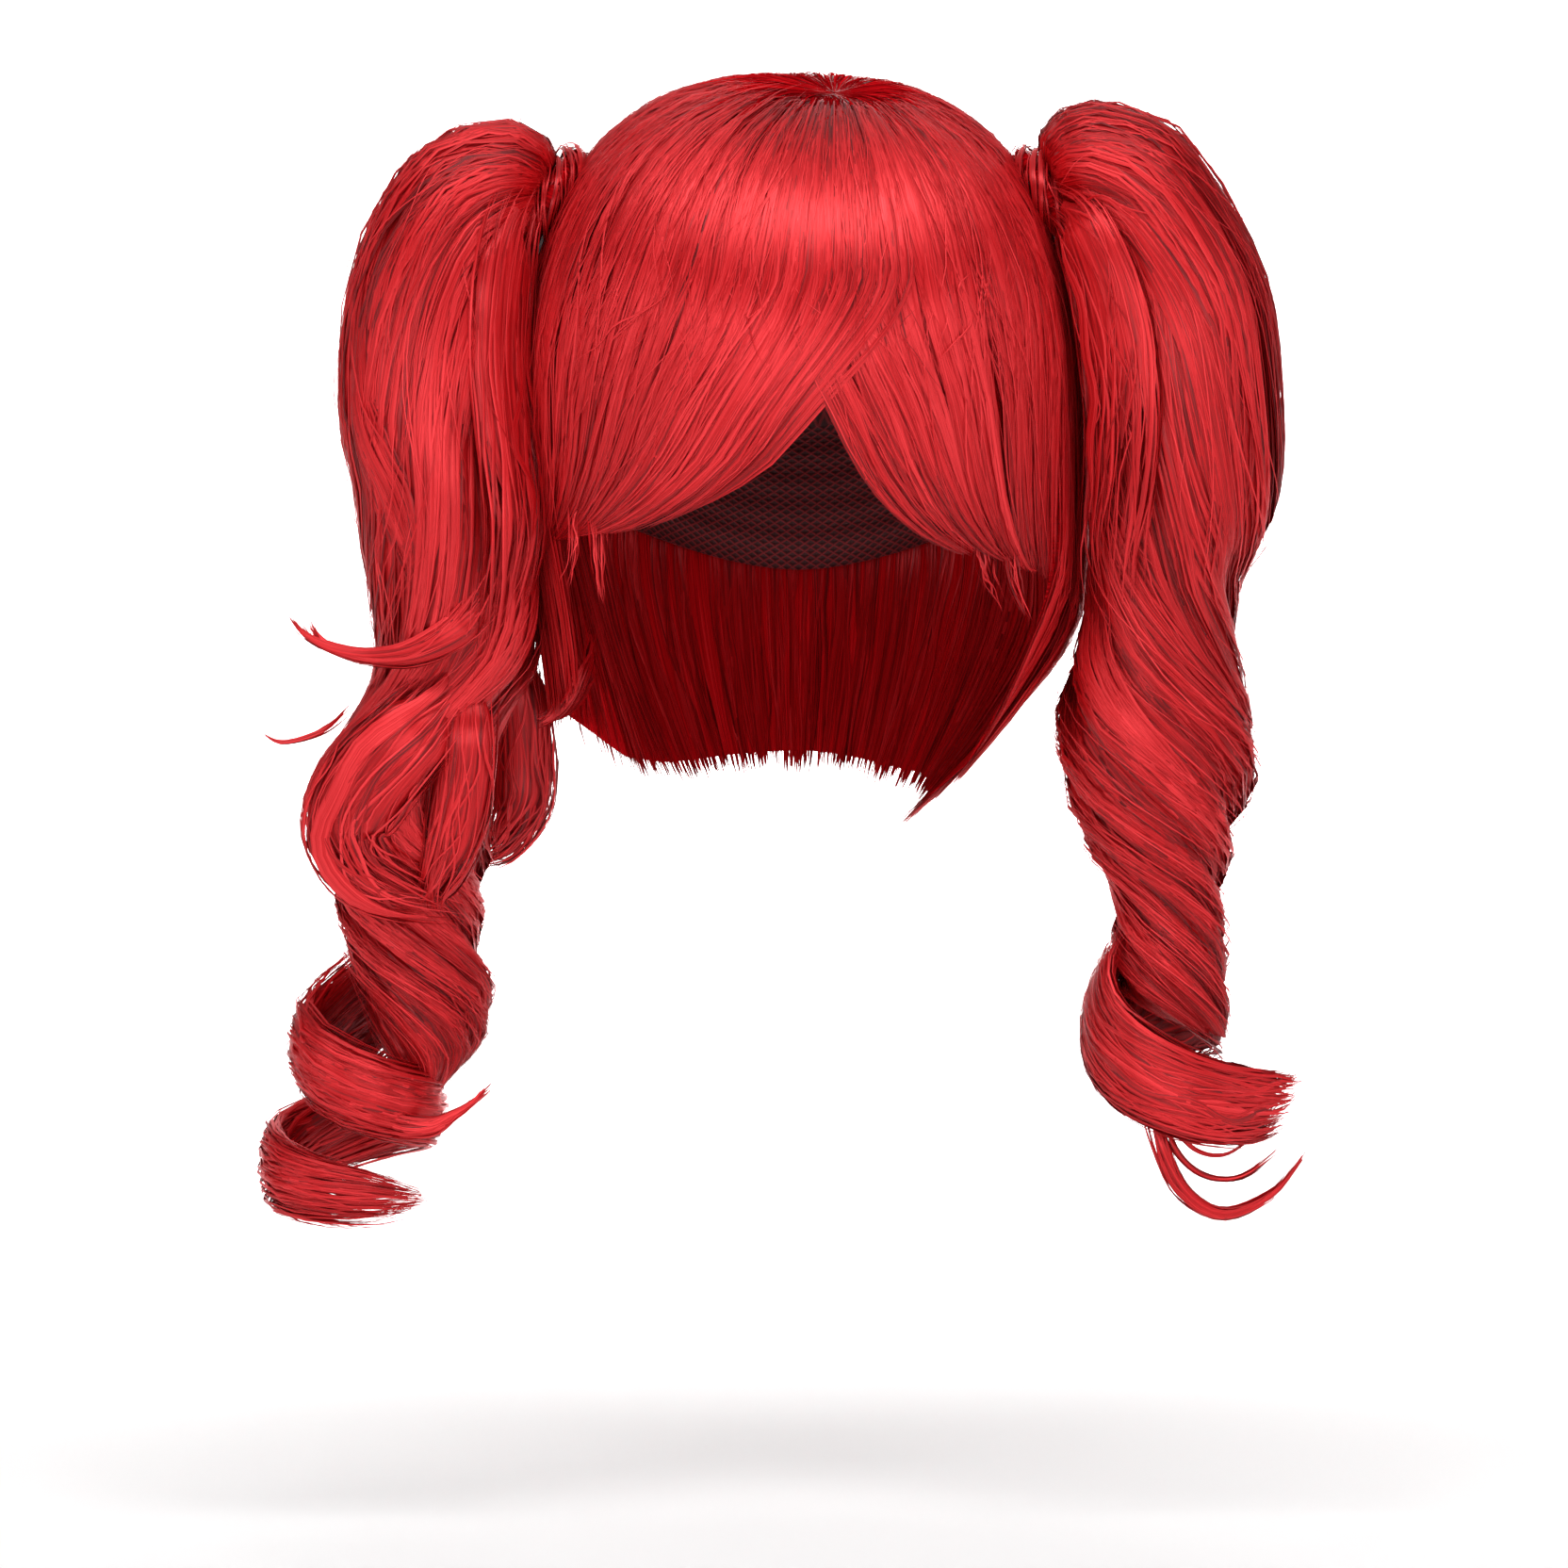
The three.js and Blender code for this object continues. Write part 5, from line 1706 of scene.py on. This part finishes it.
def hair_lines(batch, path, outward):
    """Single hairs along given paths, paler as painted light that they catch."""
    tint = batch.tints(HAIR_PAINTED_LIGHT, variety=HAIR_VARIETY)
    return Strands(path, outward, FINE_HAIR * batch.widths(root=0.1, tip=0.6), tint)


# Settings


def number_setting(name, description, default, least=0.0, **more):
    """A number that isn't under its least value."""
    return FloatProperty(name=name, description=description, default=default, min=least, **more)


def share_setting(name, description, default):
    """A share between 0 and 1."""
    return number_setting(name, description, default, max=1, subtype="FACTOR")


def power_setting(name, description, default):
    """A light's power in watts."""
    return number_setting(name, description, default, unit="POWER")


def count_setting(name, description, default, least=10):
    """A whole number of strands, clumps or locks."""
    return IntProperty(name=name, description=description, default=default, min=least)


def colour_setting(name, description, default):
    """A linear colour."""
    return FloatVectorProperty(
        name=name, description=description, default=default, subtype="COLOR", min=0, max=1
    )


class WigHairSettings(bpy.types.PropertyGroup):
    """Sizes and colours of the hair."""

    strand_width: number_setting(
        "Strand width", "Usual width of a strand of fibres", 0.00096, least=0.0002, unit="LENGTH"
    )
    strand_variety: number_setting("Strand variety", "Spread of the strands' widths", 0.45)
    clumping: share_setting("Clumping", "How far tips are drawn into clumps", 0.45)
    fringe_count: count_setting("Fringe strands", "Strands in each half of the fringe", 820)
    fringe_clumps: count_setting("Fringe clumps", "Clumps in each half of the fringe", 48, least=2)
    side_count: count_setting("Side strands", "Strands at each side", 420)
    side_clumps: count_setting("Side clumps", "Clumps at each side", 26, least=2)
    nape_count: count_setting("Nape strands", "Strands over the nape", 780)
    nape_clumps: count_setting("Nape clumps", "Clumps over the nape", 110, least=2)
    tail_count: count_setting("Ponytail strands", "Strands in each ponytail's bundle", 640)
    tail_clumps: count_setting("Ponytail clumps", "Clumps in each ponytail", 44, least=2)
    curl_count: count_setting("Curl strands", "Strands in each end curl", 280)
    lock_density: number_setting(
        "Loose lock strands", "Strands for each mm of a loose lock's width", 9.0, least=1.0
    )
    side_lock_count: count_setting("Side lock strands", "Strands in the loose lock at the right", 40)
    wisp_count: count_setting("Wisp strands", "Strands in each wisp at the fringe's tips", 14)
    whorl_count: count_setting("Whorl strands", "Short strands round the whorl", 420)
    collar_count: count_setting("Wrap strands", "Strands wound round each root", 130)
    overlay_locks: count_setting("Overlay locks", "Flat locks over each ponytail", 7, least=1)
    overlay_count: count_setting("Overlay strands", "Strands in each ponytail's overlay", 400)
    loose_count: count_setting("Loose hairs", "Single hairs over each ponytail", 300)
    deep_colour: colour_setting("Deep colour", "Shaded fibre", (0.12, 0.001, 0.002))
    middle_colour: colour_setting("Middle colour", "Usual fibre", (0.52, 0.003, 0.006))
    bright_colour: colour_setting("Bright colour", "Palest fibre", (0.76, 0.028, 0.034))
    roughness: share_setting("Roughness", "Roughness of the fibre", 0.38)
    shine: share_setting("Shine", "Specular level of the fibre", 0.65)
    sheen: share_setting("Red sheen", "Share of highlights in the fibre's own red", 0.32)
    streak_width: number_setting(
        "Streak width", "Width of a streak on the flow map, in mm", 0.4, least=0.01
    )
    streak_length: number_setting(
        "Streak length", "Length of a streak on the flow map, in mm", 60.0, least=0.1
    )
    streak_contrast: number_setting("Streak contrast", "Tint between streaks", 1.5)


class WigStageSettings(bpy.types.PropertyGroup):
    """The studio round the wig."""

    target: FloatVectorProperty(
        name="Target",
        description="Point that the camera looks at",
        default=(-0.0046, 0.0, -0.2075),
        subtype="XYZ",
        unit="LENGTH",
    )
    distance: number_setting("Distance", "From the camera to its target", 1.9, unit="LENGTH")
    elevation: number_setting(
        "Elevation", "Height of the camera over the level", math.radians(5), subtype="ANGLE"
    )
    lens: number_setting("Lens", "Focal length", 141.74, least=1.0, unit="CAMERA")
    floor_drop: number_setting("Floor drop", "Floor below the dome's top", 0.44, unit="LENGTH")
    key_power: power_setting("Key light", "Power of the high front light", 28.0)
    front_power: power_setting("Front light", "Power of the level front light", 15.0)
    top_power: power_setting("Top light", "Power of the light from above", 4.0)
    rim_power: power_setting("Rim light", "Power of the light from behind", 1.0)
    fill_power: power_setting("Fill lights", "Power of each side light", 6.0)
    back_power: power_setting("Back light", "Power of the light over the backdrop", 50.0)
    sky_strength: number_setting("Sky", "Strength of the even white light", 0.27)
    paper_colour: colour_setting("Paper colour", "Floor and backdrop", (0.92, 0.92, 0.92))


# Operators


def random_for(number):
    """A seeded source of random numbers for one piece."""
    return np.random.default_rng([SEED, number])


class WIG_OT_net_cap(bpy.types.Operator):
    """Build the net cap with its sewn rows"""

    bl_idname = "wig.net_cap"
    bl_label = "Net cap"

    def execute(self, context):
        azimuth, down = grid(-180, 180, spans=72, steps=64, closed=True)
        weft = WEFT_HEIGHT * np.clip(np.cos(FULL_TURN * WEFT_ROWS * down), 0, 1) ** 4
        outer = cap_point(azimuth, down, CAP_WALL + weft)
        inner = cap_point(azimuth, down, CAP_INSIDE - weft)
        piece = wall_piece("net_cap", outer, inner, True, CAP_FLOW, CAP_TINT, net_material())
        place(piece, "net", "wig_cap")
        return {"FINISHED"}


class WIG_OT_crown(bpy.types.Operator):
    """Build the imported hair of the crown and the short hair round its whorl"""

    bl_idname = "wig.crown"
    bl_label = "Crown"

    def execute(self, context):
        hair, dull = context.scene.wig_hair, hair_finish(context, packed=True)
        azimuth, down = grid(-180, 180, spans=120, steps=24, closed=True)
        reach = down * (around(CROWN_EDGE, azimuth)["reach"] + CROWN_PAST)
        outer = crown_point(azimuth, reach, packed_offset(reach))
        inner = crown_point(azimuth, reach, HAIR_INSIDE)
        # The packed hair is darker than the strands: painted shade of the hair beneath them
        packed = wall_piece("crown_packed", outer, inner, True, CROWN_FLOW, PACKED_SHADED_TINT, dull)
        place(packed, "hair", "crown_hair")
        strands = whorl_strands(Batch(random_for(WHORL_DRAWS), hair.whorl_count, FINE_STATIONS, hair))
        place(strand_piece("whorl_strands", strands, dull), "hair", "crown_hair")
        return {"FINISHED"}


class WIG_OT_fringe(bpy.types.Operator):
    """Build both halves of the fringe"""

    bl_idname = "wig.fringe"
    bl_label = "Fringe"

    def execute(self, context):
        hair, finish = context.scene.wig_hair, hair_finish(context)
        dull = hair_finish(context, packed=True)
        across, down = grid(PACKED_MARGIN, 1 - PACKED_MARGIN, spans=40, steps=20)
        share = mix(FRINGE_TOP + FRINGE_PAST, PACKED_FRINGE_END, down)
        outside = mix(PACKED_OUTSIDE, PACKED_TIP, smooth(down, PACKED_FRINGE_THIN, 1))
        for number, name, side, rows, wisps in (
            (1, "fringe_right", RIGHT, FRINGE_RIGHT, FRINGE_WISPS_RIGHT),
            (2, "fringe_left", LEFT, FRINGE_LEFT, FRINGE_WISPS_LEFT),
        ):
            outer = fringe_point(rows, across, share, outside, PACKED_FRINGE_LENGTH)
            inner = fringe_point(rows, across, share, HAIR_INSIDE, PACKED_FRINGE_LENGTH)
            # The packed hair is darker than the strands: painted shade of the hair beneath them
            packed = wall_piece(
                f"{name}_packed", outer, inner, False, FRINGE_FLOW, PACKED_SHADED_TINT, dull
            )
            place(packed, "hair", name)
            rng = random_for(number)
            groups = [fringe_strands(Batch(rng, hair.fringe_count, FRINGE_STATIONS, hair), rows)]
            for wisp in wisps:
                batch = Batch(rng, hair.wisp_count, FRINGE_STATIONS, hair)
                groups.append(lock_strands(batch, wisp, side, WISP_FINENESS))
            place(strand_piece(f"{name}_strands", joined(*groups), finish), "hair", name)
        return {"FINISHED"}


class WIG_OT_bob(bpy.types.Operator):
    """Build the straight hair at the sides and over the nape"""

    bl_idname = "wig.bob"
    bl_label = "Sides and nape"

    def execute(self, context):
        hair, finish = context.scene.wig_hair, hair_finish(context)
        dull = hair_finish(context, packed=True)
        for number, name, low, high, inset, count, clumps in (
            (3, "side_hair_right", -112, -58, 6, hair.side_count, hair.side_clumps),
            (4, "side_hair_left", 58, 112, 6, hair.side_count, hair.side_clumps),
            (5, "nape_hair", 112, 248, -6, hair.nape_count, hair.nape_clumps),
        ):
            azimuth, down = grid(low + inset, high - inset, spans=48, steps=28)
            top = BOB_BROW * (around(CROWN_EDGE, half_turn(azimuth))["reach"] + BOB_PAST)
            share = mix(top, PACKED_BOB_END, down)
            outside = mix(PACKED_OUTSIDE, PACKED_TIP, smooth(down, PACKED_BOB_THIN, 1))
            outer = bob_point(azimuth, share, outside, PACKED_BOB_LENGTH)
            inner = bob_point(azimuth, share, HAIR_INSIDE, PACKED_BOB_LENGTH)
            flow = ((high - low) * BOB_FLOW[0], BOB_FLOW[1])
            # The packed hair is darker than the strands: painted shade of the hair beneath them
            packed = wall_piece(f"{name}_packed", outer, inner, False, flow, PACKED_SHADED_TINT, dull)
            place(packed, "hair", name)
            batch = Batch(random_for(number), count, BOB_STATIONS, hair)
            groups = [bob_strands(batch, low, high, clumps)]
            if name == "nape_hair":
                batch = Batch(random_for(INSIDE_DRAWS), count // 3, BOB_STATIONS, hair)
                groups.append(inside_strands(batch, low - INSIDE_WIDER, high + INSIDE_WIDER))
            if name == "side_hair_right":
                batch = Batch(random_for(SIDE_LOCK_DRAWS), hair.side_lock_count, BOB_STATIONS, hair)
                groups.append(lock_strands(batch, SIDE_LOCK, RIGHT))
            place(strand_piece(f"{name}_strands", joined(*groups), finish), "hair", name)
        return {"FINISHED"}


class WIG_OT_ponytails(bpy.types.Operator):
    """Build both ponytails with their curls and loose locks"""

    bl_idname = "wig.ponytails"
    bl_label = "Ponytails"

    def execute(self, context):
        hair, finish = context.scene.wig_hair, hair_finish(context)
        dull = hair_finish(context, packed=True)
        own, down = grid(0, FULL_TURN, spans=48, steps=90, closed=True)
        share = down * TAIL_LAST
        for number, name, side, rows, locks in (
            (7, "ponytail_right", RIGHT, TAIL_RIGHT, LOCKS_RIGHT),
            (10, "ponytail_left", LEFT, TAIL_LEFT, LOCKS_LEFT),
        ):
            rings, _ = tail_point(rows, side, own, share, PACKED_TAIL * tail_lobe(own, share))
            # The packed bundle is darker than the strands: painted shade of the hair beneath them
            packed = rings_piece(f"{name}_packed", rings, TAIL_FLOW, PACKED_TAIL_SHADED_TINT, finish)
            place(packed, "hair", name)
            batch = Batch(random_for(number), hair.tail_count, TAIL_STATIONS, hair)
            bundle = tail_strands(batch, rows, side)
            place(strand_piece(f"{name}_strands", bundle, finish), "hair", name)
            rng = random_for(number + 1)
            overlay = overlay_strands(Batch(rng, hair.overlay_count, SHORT_STATIONS, hair), rows, side)
            place(strand_piece(f"{name}_overlay", overlay, finish), "hair", name)
            collar = collar_strands(Batch(rng, hair.collar_count, SHORT_STATIONS, hair), side)
            place(strand_piece(f"{name}_collar", collar, finish), "hair", name)
            # The wrap's packed core is darker still: painted shade inside the wrap
            core = rings_piece(
                f"{name}_collar_packed", collar_core(side), COLLAR_FLOW, PACKED_COLLAR_SHADED_TINT, dull
            )
            place(core, "hair", name)
            groups = []
            for index, lock in enumerate(locks):
                wide = lock.rows["wide"].max()
                count = hair.curl_count if index == 0 else int(hair.lock_density * wide)
                groups.append(lock_strands(Batch(rng, count, LOCK_STATIONS, hair), lock, side))
                if wide > BROAD_LOCK:
                    core_name = f"{name}_lock_packed_{index + 1}"
                    # A lock's packed core is darker than its strands: painted shade inside the lock
                    tint = PACKED_SHADED_TINT + lock.tone
                    core = rings_piece(core_name, lock_core(lock, side), LOCK_FLOW, tint, finish)
                    place(core, "hair", name)
            place(strand_piece(f"{name}_locks", joined(*groups), finish), "hair", name)
        return {"FINISHED"}


class WIG_OT_loose_hairs(bpy.types.Operator):
    """Build the single hairs that lie over the wig or stand off it"""

    bl_idname = "wig.loose_hairs"
    bl_label = "Loose hairs"

    def execute(self, context):
        hair, finish = context.scene.wig_hair, hair_finish(context)
        rng, count = random_for(LOOSE_HAIR_DRAWS), hair.loose_count
        # The crown has half as many as a ponytail, and each half of the fringe a third as many
        crown, fringe, tail = (
            Batch(rng, number, FINE_STATIONS, hair) for number in (count // 2, count // 3, count)
        )
        hairs = joined(
            crown_hairs(crown),
            fringe_hairs(fringe, FRINGE_RIGHT),
            fringe_hairs(fringe, FRINGE_LEFT),
            tail_hairs(tail, TAIL_RIGHT, RIGHT),
            tail_hairs(tail, TAIL_LEFT, LEFT),
        )
        place(strand_piece("loose_hairs", hairs, finish), "hair")
        return {"FINISHED"}


class WIG_OT_clips(bpy.types.Operator):
    """Give the two clips their plastic"""

    bl_idname = "wig.clips"
    bl_label = "Clips"

    def execute(self, context):
        plastic = clip_material()
        for name in ("clip_right", "clip_left"):
            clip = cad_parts[name]
            clip.data.materials.clear()
            clip.data.materials.append(plastic)
        return {"FINISHED"}


class WIG_OT_stage(bpy.types.Operator):
    """Set up the floor, backdrop, lights and camera"""

    bl_idname = "wig.stage"
    bl_label = "Studio"

    def execute(self, context):
        scene, stage = context.scene, context.scene.wig_stage
        self.paper(scene, stage)
        target = Vector(stage.target)
        for lamp in LAMPS:
            self.light(scene, lamp, getattr(stage, lamp.power), Vector(lamp.target or target))
        world = bpy.data.worlds.new("studio_sky")
        world.use_nodes = True
        sky = world.node_tree.nodes["Background"].inputs
        sky["Color"].default_value = (1, 1, 1, 1)
        sky["Strength"].default_value = stage.sky_strength
        scene.world = world
        scene.view_settings.view_transform = "Standard"
        camera = bpy.data.cameras.new("camera")
        camera.lens = stage.lens
        back = Vector((0.0, -math.cos(stage.elevation), math.sin(stage.elevation)))
        scene.camera = self.facing(scene, camera, target + back * stage.distance, target)
        return {"FINISHED"}

    def paper(self, scene, stage):
        """A floor that turns up into a backdrop through a quarter circle."""
        turn = np.linspace(0, math.pi / 2, BEND_POINTS)
        bend_y = PAPER_DEPTH + PAPER_BEND * np.sin(turn)
        bend_z = PAPER_BEND * (1 - np.cos(turn))
        y = np.concatenate([[PAPER_FRONT], bend_y, [PAPER_DEPTH + PAPER_BEND]])
        z = np.concatenate([[0.0], bend_z, [PAPER_TOP]]) - stage.floor_drop
        x = np.linspace(-PAPER_HALF_WIDTH, PAPER_HALF_WIDTH, PAPER_POINTS)
        points = np.stack(np.broadcast_arrays(x[None, :], y[:, None], z[:, None]), axis=-1)
        at = np.arange(points.shape[0] * points.shape[1]).reshape(points.shape[:2])
        faces = sheet_quads(at[:, :-1], at[:, 1:])[:, [0, 3, 2, 1]]
        mesh = bpy.data.meshes.new("studio_paper")
        mesh.from_pydata(points.reshape(-1, 3).tolist(), [], faces.tolist())
        mesh.shade_smooth()
        mesh.materials.append(paper_material(stage.paper_colour))
        sheet = bpy.data.objects.new("studio_paper", mesh)
        scene.collection.objects.link(sheet)

    def light(self, scene, lamp, power, target):
        """A soft light that faces its target."""
        light = bpy.data.lights.new(lamp.name, "AREA")
        light.energy = power
        light.shape = "RECTANGLE"
        light.size = lamp.size * lamp.wide
        light.size_y = lamp.size
        light.spread = math.radians(lamp.spread)
        self.facing(scene, light, Vector(lamp.at), target)

    def facing(self, scene, data, at, target):
        """A light or camera at a point, turned to its target."""
        thing = bpy.data.objects.new(data.name, data)
        thing.location = at
        thing.rotation_euler = (target - at).to_track_quat("-Z", "Y").to_euler()
        scene.collection.objects.link(thing)
        return thing


OPERATORS = (
    WIG_OT_net_cap,
    WIG_OT_crown,
    WIG_OT_fringe,
    WIG_OT_bob,
    WIG_OT_ponytails,
    WIG_OT_loose_hairs,
    WIG_OT_clips,
    WIG_OT_stage,
)


class WIG_PT_panel(bpy.types.Panel):
    """The wig's steps, in order"""

    bl_idname = "WIG_PT_panel"
    bl_label = "Wig"
    bl_space_type = "VIEW_3D"
    bl_region_type = "UI"
    bl_category = "Wig"

    def draw(self, context):
        for operator in OPERATORS:
            self.layout.operator(operator.bl_idname)


CLASSES = (WigHairSettings, WigStageSettings, *OPERATORS, WIG_PT_panel)


def register():
    for item in CLASSES:
        bpy.utils.register_class(item)
    bpy.types.Scene.wig_hair = PointerProperty(type=WigHairSettings)
    bpy.types.Scene.wig_stage = PointerProperty(type=WigStageSettings)


def unregister():
    del bpy.types.Scene.wig_stage
    del bpy.types.Scene.wig_hair
    for item in reversed(CLASSES):
        bpy.utils.unregister_class(item)


def main():
    """Builds the wig and its studio."""
    register()
    bpy.ops.wig.net_cap()
    bpy.ops.wig.crown()
    bpy.ops.wig.fringe()
    bpy.ops.wig.bob()
    bpy.ops.wig.ponytails()
    bpy.ops.wig.loose_hairs()
    bpy.ops.wig.clips()
    bpy.ops.wig.stage()


if __name__ == "__main__":
    main()
